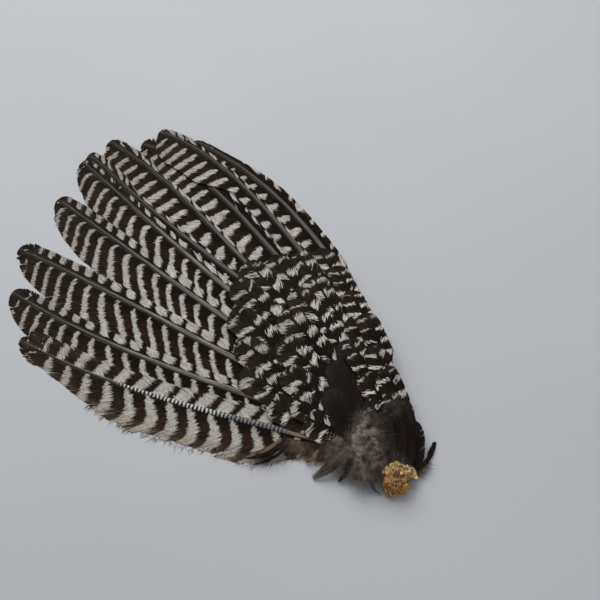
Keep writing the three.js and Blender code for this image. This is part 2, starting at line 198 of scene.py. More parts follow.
# The camera looks down at the wing from the front, and holds it left of and below the frame's middle.
CAMERA = {"place": (-82.2, -437.2, 1039.2), "looks_down": 60.0, "lens": 80.0, "sensor": 36.0}
# Lamps and floor are in metres and watts. Both lamps face the middle of the wing.
LAMPS = {"window": {"place": (-0.40, 1.25, 1.45), "size": 1.7, "power": 31.0},
         "fill": {"place": (0.9, -0.5, 1.6), "size": 1.8, "power": 3.5}}
WING_MIDDLE = (-0.15, 0.15, 0.0)
FLOOR_REACH = 6.0

NEAR_UPRIGHT = (0.13, 0.21, 0.97)   # a direction that no thread follows

# ---- Finishes ----

REDDER = (4.2, 3.2, 2.6)            # a vane's brown, as shares of its dark
# Grey-brown beside a shaft: partly the vane's own colour, partly painted sheen along the shaft.
GREY_AND_SHEEN_BESIDE = (0.105, 0.084, 0.066)
TAN_EDGE = ((0.050, 0.031, 0.018), (0.125, 0.082, 0.050))
BARB_RIDGE = 0.9                    # distance between two ridges in a vane's relief, in millimetres
RINGS = {"black": (0.012, 0.011, 0.013), "bluish": (0.19, 0.20, 0.225), "white": (0.62, 0.60, 0.55)}
DARK_HORN = {"base": (0.012, 0.010, 0.008), "middle": (0.005, 0.004, 0.004), "tip": (0.008, 0.007, 0.006),
             "gloss": 0.06}
# The bars' node group: way, kind and names of its sockets.
BARRING_SOCKETS = (
    ("INPUT", "Vector", ("Bars", "Barb")), ("INPUT", "Float", ("Ragged", "Beside")),
    ("INPUT", "Color", ("Dark", "Brown", "White", "Buff")), ("OUTPUT", "Color", ("Color",)),
    ("OUTPUT", "Float", ("Roughness", "Height")),
)

ROOT = "root"


# ---- Properties ----

class WingSizes(bpy.types.PropertyGroup):
    barb_step: FloatProperty(name="Barb step", default=1.3 * MM, min=0.5 * MM, unit="LENGTH",
                             description="Distance between two rows of points along a vane")
    vane_thickness: FloatProperty(name="Vane thickness", default=0.22 * MM, min=0.05 * MM, unit="LENGTH",
                                  description="Thickness of a vane's mesh")
    lock_gap: FloatProperty(name="Lock gap", default=0.16, min=0.0, max=1.0, subtype="FACTOR",
                            description="How far the locks of a vane part at its edge")
    down_strands: IntProperty(name="Down strands", default=5600, min=100, max=6000,
                              description="Number of fine strands in the down")


def tint(name, description, default):
    return FloatVectorProperty(name=name, description=description, subtype="COLOR", default=default, min=0.0,
                               max=1.0)


class WingColours(bpy.types.PropertyGroup):
    dark: tint("Dark", "Dark part of the vanes", (0.0072, 0.0048, 0.0033))
    white: tint("White", "White bars", (0.57, 0.545, 0.495))
    buff: tint("Buff", "Bars and ground near worn tips", (0.36, 0.30, 0.235))
    shaft: tint("Shaft", "Shafts of the inner flight feathers at mid length", (0.150, 0.122, 0.098))
    down: tint("Down", "Down at the wrist", (0.235, 0.186, 0.150))
    tissue: tint("Tissue", "Dried tissue at the cut", (0.52, 0.35, 0.080))
    floor: tint("Floor", "The floor under the wing", (0.50, 0.51, 0.53))


def sizes():
    return bpy.context.scene.wing_sizes


def colours():
    return bpy.context.scene.wing_colours


# ---- Shader helpers ----

class Value:
    """An output of a node. Arithmetic with it adds the node that works out the result."""

    def __init__(self, tree, socket):
        self.tree = tree
        self.socket = socket

    def __add__(self, other):
        return maths("ADD", self, other)

    def __sub__(self, other):
        return maths("SUBTRACT", self, other)

    def __rsub__(self, other):
        return maths("SUBTRACT", other, self)

    def __mul__(self, other):
        return maths("MULTIPLY", self, other)

    def also(self, name):
        """Another output of the same node."""
        return Value(self.tree, self.socket.node.outputs[name])


def feed(inputs, values):
    """Links or sets the named or numbered inputs of a node. A colour is given by its three numbers."""
    for key, value in values.items():
        if isinstance(value, Value):
            value.tree.links.new(value.socket, inputs[key])
        elif inputs[key].type == "RGBA":
            inputs[key].default_value = (*value, 1.0)
        else:
            inputs[key].default_value = value


def node(tree, kind, values, result=0, **settings):
    """Adds a node, sets its settings, feeds its inputs, and gives one of its outputs."""
    made = tree.nodes.new(kind)
    for key, value in settings.items():
        setattr(made, key, value)
    feed(made.inputs, values)
    return Value(tree, made.outputs[result])


def tree_of(*values):
    """The node tree of the first value that is a node's output."""
    return next(value.tree for value in values if isinstance(value, Value))


def maths(operation, *values, clamp=False):
    """The result of a Math node."""
    settings = {"operation": operation, "use_clamp": clamp}
    return node(tree_of(*values), "ShaderNodeMath", dict(enumerate(values)), **settings)


def mixed(share, first, second):
    """The colour at the share of the way from the first colour to the second."""
    values = {0: share, 6: first, 7: second}
    return node(tree_of(*values.values()), "ShaderNodeMix", values, 2, data_type="RGBA")


def scaled(colour, share):
    """The colour made lighter or darker by the share."""
    return node(share.tree, "ShaderNodeVectorMath", {0: colour, "Scale": share}, operation="SCALE")


def ramped(value, low, high, to_low=0.0, to_high=1.0):
    """A smooth step of the value from low to high."""
    values = {"Value": value, "From Min": low, "From Max": high, "To Min": to_low, "To Max": to_high}
    return node(value.tree, "ShaderNodeMapRange", values, interpolation_type="SMOOTHSTEP")


def noise(vector, scale, detail=2.0, rough=0.5):
    """Soft random values from 0 to 1 that follow the vector."""
    values = {"Vector": vector, "Scale": scale, "Detail": detail, "Roughness": rough}
    return node(vector.tree, "ShaderNodeTexNoise", values, "Fac")


def vector_of(x, y, z):
    """A vector of three numbers."""
    return node(tree_of(x, y, z), "ShaderNodeCombineXYZ", {0: x, 1: y, 2: z})


def parts_of(vector):
    """The three numbers of a vector."""
    x = node(vector.tree, "ShaderNodeSeparateXYZ", {0: vector})
    return x, x.also(1), x.also(2)


def bumped(height, strength, distance):
    """The normal of a relief of that depth in millimetres."""
    values = {"Strength": strength, "Distance": distance * MM, "Height": height}
    return node(height.tree, "ShaderNodeBump", values)


def attribute(tree, name):
    """A vector that each point of the mesh carries."""
    return node(tree, "ShaderNodeAttribute", {}, "Vector", attribute_name=name)


def spot(tree):
    """The place on the object, in metres."""
    return node(tree, "ShaderNodeTexCoord", {}, "Object")


def started(name):
    """A new material, its node tree, and the inputs of its shader."""
    material = bpy.data.materials.new(name)
    material.use_nodes = True
    return material, material.node_tree, material.node_tree.nodes["Principled BSDF"].inputs


def times(share, colour):
    """The numbers of a colour or a place, each multiplied by the share."""
    return [share * value for value in colour]


# ---- Materials ----

def barring_group():
    """Bars that follow the vane. White shows where the distance to a bar's middle is under the white share.
    The bar coordinate is shaken from barb to barb, so a bar's edges are combed along the barbs."""
    name = "vane_barring"
    if name in bpy.data.node_groups:
        return bpy.data.node_groups[name]
    tree = bpy.data.node_groups.new(name, "ShaderNodeTree")
    for way, kind, labels in BARRING_SOCKETS:
        for label in labels:
            tree.interface.new_socket(label, in_out=way, socket_type="NodeSocket" + kind)
    source = tree.nodes.new("NodeGroupInput").outputs
    given = {label: Value(tree, socket) for label, socket in source.items()}
    phase, share, wear_and_crease_shade = parts_of(given["Bars"])
    along, outward, seed = parts_of(given["Barb"])

    def streaks(along_shaft, along_barb, detail):
        return noise(vector_of(along * along_shaft, outward * along_barb, seed), 1.0, detail)

    # Streaks: quick across the barbs, slow along them.
    coarse, fine, broad = streaks(0.75, 0.09, 1.5), streaks(3.1, 0.22, 1.0), streaks(0.10, 0.14, 2.0)
    shake = (coarse - 0.5) * given["Ragged"]
    shake_fine = (fine - 0.5) * (given["Ragged"] * 0.55)
    sway = (broad - 0.5) * (given["Ragged"] * 0.6)
    away = maths("ABSOLUTE", maths("FRACT", (phase + shake) + (shake_fine + sway)) - 0.5) * 2.0
    swell = (share + (fine - 0.5) * 0.55) + (broad - 0.5) * 0.18
    white = ramped(swell - away, -0.05, 0.07)
    # Dark barbs run into the white, more of them where it is worn.
    speckle = noise(spot(tree), 850.0, 2.0, 0.6)
    flecks = ramped(fine, 0.60, 0.74, 1.0, 0.42) * ramped(speckle, 0.37, 0.55, 0.58, 1.04)
    aged = maths("MINIMUM", wear_and_crease_shade, 0.9)
    dusty = ramped(fine, 0.40, 0.62) * (aged * 0.40)
    white = (white * flecks) * (1.0 - dusty)
    tinged = ramped(broad, 0.42, 0.66) * 0.42
    pale = mixed(maths("MAXIMUM", aged * 0.62, tinged), given["White"], given["Buff"])
    # The ground is reddish away from the shaft, grey beside it (partly the vane's own grey-brown, partly
    # painted sheen), brown near the tip, and tan at a worn edge.
    patches = ramped(coarse, 0.25, 0.75, 0.45, 1.0) * ramped(broad, 0.3, 0.6, 0.3, 1.0)
    reddish = mixed(ramped(outward, 4.0, 22.0, 0.15, 1.0) * patches, given["Dark"], given["Brown"])
    beside = ramped(outward, 4.6, 1.8) * ramped(streaks(0.05, 1.3, 2.0), 0.40, 0.62)
    dark = mixed(beside * given["Beside"], reddish, GREY_AND_SHEEN_BESIDE)
    ground = mixed(aged * ramped(broad, 0.3, 0.7, 0.2, 1.0), dark, mixed(0.05, given["Dark"], given["Buff"]))
    tan = maths("MULTIPLY", wear_and_crease_shade - 0.9, 0.42, clamp=True)
    ground = mixed(tan, ground, mixed(ramped(broad, 0.35, 0.65), *TAN_EDGE))
    bright = ramped(coarse, 0.25, 0.75, 0.74, 1.24) * ramped(fine, 0.25, 0.75, 0.86, 1.12)
    ridges = maths("SINE", along * (2 * math.pi / BARB_RIDGE))
    feed(tree.nodes.new("NodeGroupOutput").inputs, {
        "Color": scaled(mixed(white, ground, pale), bright),
        "Roughness": ramped(coarse, 0.2, 0.8, 0.55, 0.75),
        "Height": ridges * 0.25 + (fine + coarse)})
    return tree


def vane_material(name, ragged, dark, white, buff, gloss=0.03, beside=0.0, brown=None):
    """A vane's barred barbs. Ragged: how far the edges of its bars are shaken. Beside: how grey its ground is
    beside the shaft, a grey that is partly painted sheen."""
    brown = brown or [share * value for share, value in zip(REDDER, dark)]
    material, tree, shader = started(name)
    values = {"Bars": attribute(tree, "bars"), "Barb": attribute(tree, "barb"), "Ragged": ragged,
              "Beside": beside, "Dark": dark, "White": white, "Brown": brown, "Buff": buff}
    colour = node(tree, "ShaderNodeGroup", values, "Color", node_tree=barring_group())
    feed(shader, {"Base Color": colour, "Roughness": colour.also("Roughness"),
                  "Normal": bumped(colour.also("Height"), 0.35, 0.12), "Specular IOR Level": gloss})
    return material


def ringed(colour, share, aside, along):
    """Pale rings on black: white dashes in the outer part, weak bluish ones nearer the base."""
    within = ramped(share, 0.18, 0.24) * ramped(share, 0.71, 0.66)
    wobble = noise(vector_of(along * 0.22, aside, 3.0), 1.0, 2.0)
    band = maths("ABSOLUTE", maths("FRACT", along * 0.29 + wobble * 0.9) - 0.5)
    patchy = noise(vector_of(along * 0.5, aside * 1.6, 8.0), 1.0, 1.0)
    ring = ramped(band, 0.27, 0.34) * ramped(patchy, 0.30, 0.42, 0.25, 1.0)
    inked = mixed(within * 0.9, colour, RINGS["black"])
    return mixed(ring * within, inked, mixed(ramped(share, 0.36, 0.42), RINGS["bluish"], RINGS["white"]))


def shaft_material(name, base, middle, tip, banded=False, gloss=0.35):
    """Horn of a shaft: its colour goes from the base over the middle to the tip, in long streaks, with
    painted shade on both flanks and a painted highlight line along one side.
    """
    material, tree, shader = started(name)
    share, aside, rise = parts_of(attribute(tree, "bars"))
    along, _, seed = parts_of(attribute(tree, "barb"))
    streak = noise(vector_of(along * 0.030, aside * 2.6, rise + seed), 1.0, 2.5)
    plain = mixed(ramped(share, 0.55, 0.95), mixed(ramped(share, 0.22, 0.50), base, middle), tip)
    # Painted shade: both flanks of the shaft are darkened towards the tip colour.
    flank_shade = ramped(maths("ABSOLUTE", aside), 0.45, 0.95, 0.0, 0.75)
    streaks_and_flank_shade = maths("MAXIMUM", flank_shade, ramped(streak, 0.46, 0.54, 0.0, 0.85))
    # Painted highlight: a lighter line along one side of the shaft, 1.5 times the base colour.
    painted_highlight_line = ramped(aside, -0.92, -0.80) * ramped(aside, -0.45, -0.60)
    painted_highlight_line = painted_highlight_line * ramped(streak, 0.40, 0.55, 0.75, 0.2)
    colour = mixed(painted_highlight_line, mixed(streaks_and_flank_shade, plain, tip), times(1.5, base))
    if banded:
        colour = ringed(colour, share, aside, along)
    feed(shader, {"Base Color": colour, "Roughness": ramped(streak, 0.3, 0.7, 0.32, 0.5),
                  "Normal": bumped(streak, 0.3, 0.2), "Specular IOR Level": gloss})
    return material


def down_material(name, tint, dark):
    """Fluff: in dark and pale patches, and each thread has its own shade."""
    material, tree, shader = started(name)
    own = parts_of(attribute(tree, "bars"))[1]
    mottled = mixed(ramped(noise(spot(tree), 150.0, 4.0, 0.6), 0.31, 0.62), dark, tint)
    shade = ramped(maths("FRACT", own * 7.31), 0.0, 1.0, 0.50, 1.45)
    feed(shader, {"Base Color": scaled(mottled, shade), "Roughness": 0.85, "Specular IOR Level": 0.15,
                  "Sheen Weight": 0.15})
    return material


def tissue_material(name, tint):
    """Dried tissue: waxy amber with pale yellow painted highlights on its crests and brown painted shade in
    its hollows, darker at its front end.
    """
    material, tree, shader = started(name)
    place = spot(tree)
    stretched = node(tree, "ShaderNodeMapping", {"Vector": place, "Rotation": (0.0, 0.0, 0.5),
                                                 "Scale": (1.0, 0.35, 1.0)})
    fibre = noise(stretched, 700.0, 4.0, 0.6)
    patch = noise(place, 130.0, 3.0)
    x, y, _ = parts_of(place)
    far = ramped(y + x * 0.5, -0.026, -0.006)
    amber = mixed(ramped(patch, 0.38, 0.56), (0.20, 0.090, 0.018), mixed(far, (0.46, 0.205, 0.040), tint))
    # Painted highlight: pale yellow on the raised crests of the fibres.
    crest_highlight = mixed(far, (0.71, 0.49, 0.24), (0.76, 0.65, 0.44))
    amber_with_highlights = mixed(ramped(fibre, 0.50, 0.66), amber, crest_highlight)
    # Painted shade: dark brown in the low hollows between the fibres.
    feed(shader, {"Base Color": mixed(ramped(fibre, 0.46, 0.34), amber_with_highlights, (0.085, 0.036, 0.006)),
                  "Roughness": ramped(patch, 0.3, 0.7, 0.36, 0.6), "Normal": bumped(fibre, 0.8, 0.7),
                  "Subsurface Weight": 0.15, "Subsurface Radius": (0.002, 0.001, 0.0004)})
    return material


def skin_material(name):
    """Dried skin: yellow brown, finely wrinkled with painted shade in the wrinkles' hollows, and with darker
    pits where quills stood.
    """
    material, tree, shader = started(name)
    place = spot(tree)
    wrinkle = noise(place, 420.0, 5.0, 0.62)
    patch = noise(place, 60.0, 3.0)
    pits = node(tree, "ShaderNodeTexVoronoi", {"Vector": place, "Scale": 210.0}, "Distance")
    base = mixed(ramped(patch, 0.35, 0.65), (0.17, 0.095, 0.048), (0.29, 0.19, 0.10))
    # Painted shade: darker in the hollows of the wrinkles.
    wear_and_crease_shade = mixed(ramped(wrinkle, 0.55, 0.38), base, (0.08, 0.045, 0.026))
    feed(shader, {"Base Color": mixed(ramped(pits, 0.22, 0.10), wear_and_crease_shade, (0.045, 0.026, 0.018)),
                  "Roughness": ramped(patch, 0.3, 0.7, 0.42, 0.62),
                  "Normal": bumped(wrinkle + ramped(pits, 0.08, 0.26, 0.0, 0.6), 0.7, 0.6)})
    return material


# ---- Surfaces worked out on grids ----

def smooth(x):
    """A smooth step: x * x * (3 - 2 * x), with x held between 0 and 1."""
    x = np.clip(x, 0.0, 1.0)
    return x * x * (3.0 - 2.0 * x)


def lerp(a, b, share):
    """The value at the share of the way from a to b."""
    return a + (b - a) * share


def unit(vectors, least=0.0):
    """The vectors at length 1. Least is added to their lengths where some may have none."""
    return vectors / (np.linalg.norm(vectors, axis=-1, keepdims=True) + least)


def stacked(*values):
    """Vectors made of numbers or arrays, each spread over the others' shape."""
    return np.stack(np.broadcast_arrays(*values), -1)


def quads(*corners):
    """Faces of four corners, from four arrays of the points' numbers."""
    return np.stack(corners, -1).reshape(-1, 4)


def left_of(ahead):
    """The directions turned a quarter to the left."""
    return np.stack([-ahead[..., 1], ahead[..., 0]], -1)


def shaft_points(base, tip, bend):
    """The four points of a cubic that leaves its base and reaches its tip turned by the two bends."""
    base, tip = np.array(base, float), np.array(tip, float)
    third = (tip - base) / 3.0

    def turned(degrees):
        a = math.radians(degrees)
        return np.array([third[0] * math.cos(a) - third[1] * math.sin(a),
                         third[0] * math.sin(a) + third[1] * math.cos(a)])

    return np.array([base, base + turned(bend[0]), tip - turned(bend[1]), tip])


def route_at(points, s):
    """Place and unit direction on the cubic at the shares s."""
    s = np.asarray(s)[..., None]
    r = 1.0 - s
    place = r ** 3 * points[0] + 3 * r * r * s * points[1] + 3 * r * s * s * points[2] + s ** 3 * points[3]
    legs = np.diff(points, axis=0)
    return place, unit(r * r * legs[0] + 2 * r * s * legs[1] + s * s * legs[2])


def vane_width(s, full, closes):
    """None on the quill, full along the middle, an ellipse over the last share that closes it."""
    grown = np.clip((s - BARE_QUILL) / VANE_GROWS, 0.0, 1.0)
    past = np.clip((s - 1.0 + closes) / closes, 0.0, 1.0)
    return full * grown * np.sqrt(1.0 - past ** 2)


class Feather:
    """One feather's plan: its route, the widths of its vanes at any share, and the height of its solid."""

    def __init__(self, name, spec, place=0):
        self.name = name
        self.spec = spec
        self.place = place
        self.flight = place > 0
        self.points = shaft_points(spec["base"], spec["tip"], spec["bend"])
        there = route_at(self.points, np.linspace(0.0, 1.0, 60))[0]
        self.length = float(np.linalg.norm(np.diff(there, axis=0), axis=1).sum())
        self.closes = spec.get("closes", 0.9 * spec["wide"] / self.length)
        self.narrow_closes = NARROW_CLOSES if self.flight else self.closes
        self.vane = FLIGHT_VANE if self.flight else COVERT_VANE
        self.level = self.read_level()

    def beside(self, s, offset):
        """The places to the left of the shaft by the offsets, at the shares s."""
        place, ahead = route_at(self.points, s)
        return place[..., 0] - ahead[..., 1] * offset, place[..., 1] + ahead[..., 0] * offset

    def radius(self, s):
        """The shaft's radius, which falls off evenly from the base to the tip."""
        return lerp(self.spec["quill"], SHAFT_AT_TIP * self.spec["quill"], s)

    def width(self, s, side):
        """The wide vane's width for side 1, the narrow one's for side -1."""
        thinned = lerp(1.0, THINS["least"], smooth((s - THINS["from"]) / (THINS["to"] - THINS["from"])))
        if side > 0:
            full = self.spec["wide"]
            if self.place == NINTH:
                full = lerp(TUCKED["width"], full, smooth((s - TUCKED["until"]) / TUCKED["over"]))
            return vane_width(s, full, self.closes) * (thinned if self.place == 1 else 1.0)
        kept = lerp(1.0, self.spec.get("folded", 1.0), smooth((FOLDED["until"] - s) / FOLDED["over"]))
        narrow = vane_width(s, self.spec["narrow"] * kept, self.narrow_closes)
        return narrow * (thinned if self.place == len(FLIGHT) else 1.0)

    def read_level(self):
        """Height of the solid's middle surface on a grid of shares along and across, read from its top."""
        along = np.linspace(0.0, 1.0, 56)
        across = np.array([-0.94, -0.6, -0.3, 0.0, 0.3, 0.6, 0.94])
        s, q = np.meshgrid(along, across, indexing="ij")
        least = self.radius(s) + EDGE
        width = np.where(q > 0, np.maximum(self.width(s, 1), least), np.maximum(self.width(s, -1), least))
        offset = q * width
        top = top_of(self.name, *self.beside(np.clip(s, 0.004, 0.996), offset))
        radius = self.radius(s)
        reach = radius if self.flight else width
        ridge = RIDGE * radius * np.clip(1.0 - np.abs(offset) / reach, 0.0, 1.0)
        level = top - ridge - 0.5 * self.vane
        for column in range(level.shape[1]):
            known = np.isfinite(level[:, column])
            level[:, column] = np.interp(along, along[known], level[known, column])
        for _ in range(3):
            padded = np.vstack([level[:1], level, level[-1:]])
            level = 0.25 * padded[:-2] + 0.5 * padded[1:-1] + 0.25 * padded[2:]
        return along, across, level

    def height(self, s, q):
        """Bilinear in the grid that read_level made."""
        along, across, level = self.level
        row = np.clip(s, 0.0, 1.0) * (len(along) - 1)
        i = np.clip(row.astype(int), 0, len(along) - 2)
        column = np.interp(q, across, np.arange(len(across)))
        j = np.clip(column.astype(int), 0, len(across) - 2)
        u, v = row - i, column - j
        low = level[i, j] * (1 - v) + level[i, j + 1] * v
        high = level[i + 1, j] * (1 - v) + level[i + 1, j + 1] * v
        return low * (1 - u) + high * u


def solid_triangles(name):
    """The corners of a solid's triangles, in millimetres."""
    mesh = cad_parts[name].data
    corners = np.empty(len(mesh.vertices) * 3, np.float32)
    mesh.vertices.foreach_get("co", corners)
    mesh.calc_loop_triangles()
    index = np.empty(len(mesh.loop_triangles) * 3, np.int32)
    mesh.loop_triangles.foreach_get("vertices", index)
    return corners.reshape(-1, 3)[index].reshape(-1, 3, 3).astype(float) / MM


def top_of(name, x, y, sign=1.0):
    """The highest point of a solid over each place, or the lowest for sign -1, and no number beside it."""
    a, b, c = np.moveaxis(solid_triangles(name), 1, 0)
    area = (b[:, 0] - a[:, 0]) * (c[:, 1] - a[:, 1]) - (c[:, 0] - a[:, 0]) * (b[:, 1] - a[:, 1])
    wide_enough = np.abs(area) > 1e-6
    a, b, c, area = a[wide_enough], b[wide_enough], c[wide_enough], area[wide_enough]
    px, py = x.reshape(-1, 1), y.reshape(-1, 1)
    of_b = ((px - a[:, 0]) * (c[:, 1] - a[:, 1]) - (c[:, 0] - a[:, 0]) * (py - a[:, 1])) / area
    of_c = ((b[:, 0] - a[:, 0]) * (py - a[:, 1]) - (px - a[:, 0]) * (b[:, 1] - a[:, 1])) / area
    inside = (of_b > -0.002) & (of_c > -0.002) & (of_b + of_c < 1.002)
    z = a[:, 2] + of_b * (b[:, 2] - a[:, 2]) + of_c * (c[:, 2] - a[:, 2])
    found = sign * np.where(inside, sign * z, -np.inf).max(axis=1)
    return np.where(np.isfinite(found), found, np.nan).reshape(x.shape)


class Pile:
    """Gathers the surfaces of one piece: points, faces, slots, and two vectors that its materials read."""

    def __init__(self):
        self.points, self.faces, self.bars, self.barb, self.slots = [], [], [], [], []
        self.count = 0

    def add(self, points, faces, bars, barb, slot):
        self.points.append(points.reshape(-1, 3))
        self.bars.append(bars.reshape(-1, 3))
        self.barb.append(barb.reshape(-1, 3))
        for corners in faces:
            self.faces.append(corners + self.count)
            self.slots.append(np.full(len(corners), slot))
        self.count += len(self.points[-1])

    def piece(self, name, materials, sharp=35.0):
        """Makes the mesh in metres, with smooth faces between sharp edges."""
        mesh = bpy.data.meshes.new(name)
        faces = [face for block in self.faces for face in block.tolist()]
        mesh.from_pydata((np.vstack(self.points) * MM).tolist(), [], faces)
        for label, values in (("bars", self.bars), ("barb", self.barb)):
            layer = mesh.attributes.new(label, "FLOAT_VECTOR", "POINT")
            layer.data.foreach_set("vector", np.vstack(values).astype(np.float32).ravel())
        for material in materials:
            mesh.materials.append(material)
        mesh.polygons.foreach_set("material_index", np.concatenate(self.slots).astype(np.int32))
        mesh.polygons.foreach_set("use_smooth", np.ones(len(mesh.polygons), bool))
        mesh.set_sharp_from_angle(angle=math.radians(sharp))
        mesh.update()
        made = bpy.data.objects.new(name, mesh)
        bpy.context.scene.collection.objects.link(made)
        return made


def shell_faces(rows, columns, joined):
    """Quads of closed thin shells. Point (layer, row, column) is layer * rows * columns + row * columns +
    column, layer 0 is the top. joined tells for each row but the last whether the next row is in the same
    shell, and where it isn't, both rows get a rim."""
    index = np.arange(2 * rows * columns).reshape(2, rows, columns)
    top, under = index
    first = np.flatnonzero(joined)
    a, b, c, d = top[first, :-1], top[first + 1, :-1], top[first + 1, 1:], top[first, 1:]
    e, f, g, h = under[first, :-1], under[first + 1, :-1], under[first + 1, 1:], under[first, 1:]
    starts = np.concatenate([[True], ~joined])
    ends = np.concatenate([~joined, [True]])

    def rim(p_top, q_top, p_under, q_under):
        return quads(p_under, q_under, q_top, p_top)

    return np.vstack([
        quads(a, b, c, d),
        quads(h, g, f, e),
        rim(top[first, 0], top[first + 1, 0], under[first, 0], under[first + 1, 0]),
        rim(top[first + 1, -1], top[first, -1], under[first + 1, -1], under[first, -1]),
        rim(top[ends][:, :-1], top[ends][:, 1:], under[ends][:, :-1], under[ends][:, 1:]),
        rim(top[starts][:, 1:], top[starts][:, :-1], under[starts][:, 1:], under[starts][:, :-1]),
    ])


def flight_run(offset, along, spec, first):
    """How far a bar of a wide flight vane runs towards the tip at an offset from the shaft: forward beside
    it as far as the hook says, then with the lean. In the first feather it turns forward near the edge."""
    inner = smooth((spec["turns_at"] - along) / 0.22)
    run = HOOK_RISE * spec["hook"] * offset * np.exp(-offset / HOOK_FADES)
    run = run + lerp(spec["outer_lean"], spec["inner_lean"], inner) * offset
    return run + (0.04 * np.maximum(offset - 15.0, 0.0) ** 2 if first else 0.0)


def bars_from_tip(from_tip, pitch):
    """The number of bars between the tip and a place. Their spacing is 0.8 of the pitch at the tip, grows
    with the distance, and keeps at 1.2 of the pitch beyond the place where it gets there."""
    grows, first = 0.045, 0.8 * pitch
    full = 0.4 * pitch / grows
    near = np.log1p(grows * np.minimum(from_tip, full) / first) / grows
    return near + np.maximum(from_tip - full, 0.0) / (1.2 * pitch)


def lock_cuts(roots, rng):
    """Where the rows of barbs part into locks: from 3 to 9 rows together, and 2 or 3 near the tip."""
    lengths = np.where(roots < 0.9, rng.integers(3, 10, len(roots)), rng.integers(2, 4, len(roots)))
    cuts = [0]
    while cuts[-1] < len(roots) - 5:
        cuts.append(cuts[-1] + int(lengths[cuts[-1]]))
    return np.array([cut for cut in cuts if cut < len(roots) - 2] + [len(roots) - 1])


def vane(pile, feather, side, rng, slot):
    """A vane as locks of barbs. A barb leaves the shaft at the share root, sweeps towards the tip, and ends
    on the vane's outline; a point at the share b of it lies at the share root + (end - root) * b ** 1.25
    along and at b times the outline's width across. Each lock is a closed shell, and its barbs draw together
    towards the edge."""
    spec, size = feather.spec, sizes()
    loose = spec.get("loose", 0.0)
    count = max(14, int(feather.length * MM / size.barb_step))
    roots = lerp(BARE_QUILL + 0.01, 1.0, np.linspace(0.0, 1.0, count) ** 0.97)
    cuts = lock_cuts(roots, rng)
    locks = len(cuts) - 1
    rows = np.concatenate([np.arange(a, b + 1) for a, b in zip(cuts[:-1], cuts[1:])])
    lock = np.repeat(np.arange(locks), np.diff(cuts) + 1)
    root = roots[rows]
    sweep = 1.05 * spec["wide"] if side > 0 else 1.7 * spec["narrow"]
    end = root + min(sweep / feather.length, 0.16) * (1.0 - root ** (6.0 if feather.flight else 5.0))
    spans = [end[lock == k] for k in range(locks)]
    centre = np.array([span.mean() for span in spans])[lock]
    half = np.array([np.ptp(span) / 2 + 1e-6 for span in spans])[lock]
    # Chance for each lock: how far it parts from the next, how it tilts, and how short its barbs are.
    split = rng.uniform(0.0, 1.0, locks)
    drawn = (size.lock_gap * split + 0.35 * (split > 0.96))[lock]
    tilt = rng.normal(0.0, 0.10 + 0.30 * loose, locks)[lock]
    shorter = rng.uniform(0.975 - 0.2 * loose, 1.0, locks)[lock] * rng.uniform(0.985, 1.0, len(rows))
    frayed = (0.50 if spec["plain"] > 10 else 0.26) + 0.25 * loose
    shorter *= 1.0 - frayed * smooth((root - 0.90) / 0.08) * rng.uniform(0.0, 1.0, locks)[lock] ** 1.5
    b = np.linspace(0.0, 1.0, 15 if feather.flight and side > 0 else 9) ** 1.3
    along = root[:, None] + (end - root)[:, None] * b ** 1.25
    along += (centre - end)[:, None] * drawn[:, None] * b ** 6
    along = np.clip(along, 0.0, 0.999)
    offset = feather.width(end, side)[:, None] * b * lerp(1.0, shorter[:, None], b ** 2)
    offset = np.maximum(offset, 0.5 * feather.radius(along))
    local = np.maximum(feather.width(along, side), feather.radius(along) + EDGE)
    middle = feather.height(along, side * np.clip(offset / local, 0.0, 1.0))
    middle += tilt[:, None] * b ** 2 - 0.10 * (((end - centre) / half) ** 2)[:, None] * b ** 1.5
    half_thick = 0.5 * size.vane_thickness / MM * lerp(1.0, 0.6, b)
    middle = np.maximum(middle, half_thick + ABOVE_FLOOR)
    x, y = feather.beside(along, side * offset)
    slip = rng.normal(0.0, 0.015 if feather.flight else 0.05, locks)[lock][:, None]
    bars = vane_bars(feather, side, along, offset, offset / local, (x, y), slip, rng)
    under = bars.copy()
    under[..., 2] = np.maximum(under[..., 2], 0.5)
    barb = stacked(root[:, None] * feather.length, offset * 1.3, spec["seed"] + (0.0 if side > 0 else 5.0))
    faces = shell_faces(len(rows), len(b), lock[1:] == lock[:-1])
    pile.add(np.stack([stacked(x, y, middle + half_thick), stacked(x, y, middle - half_thick)]),
             [faces if side > 0 else faces[:, ::-1]], np.stack([bars, under]), np.stack([barb, barb]), slot)


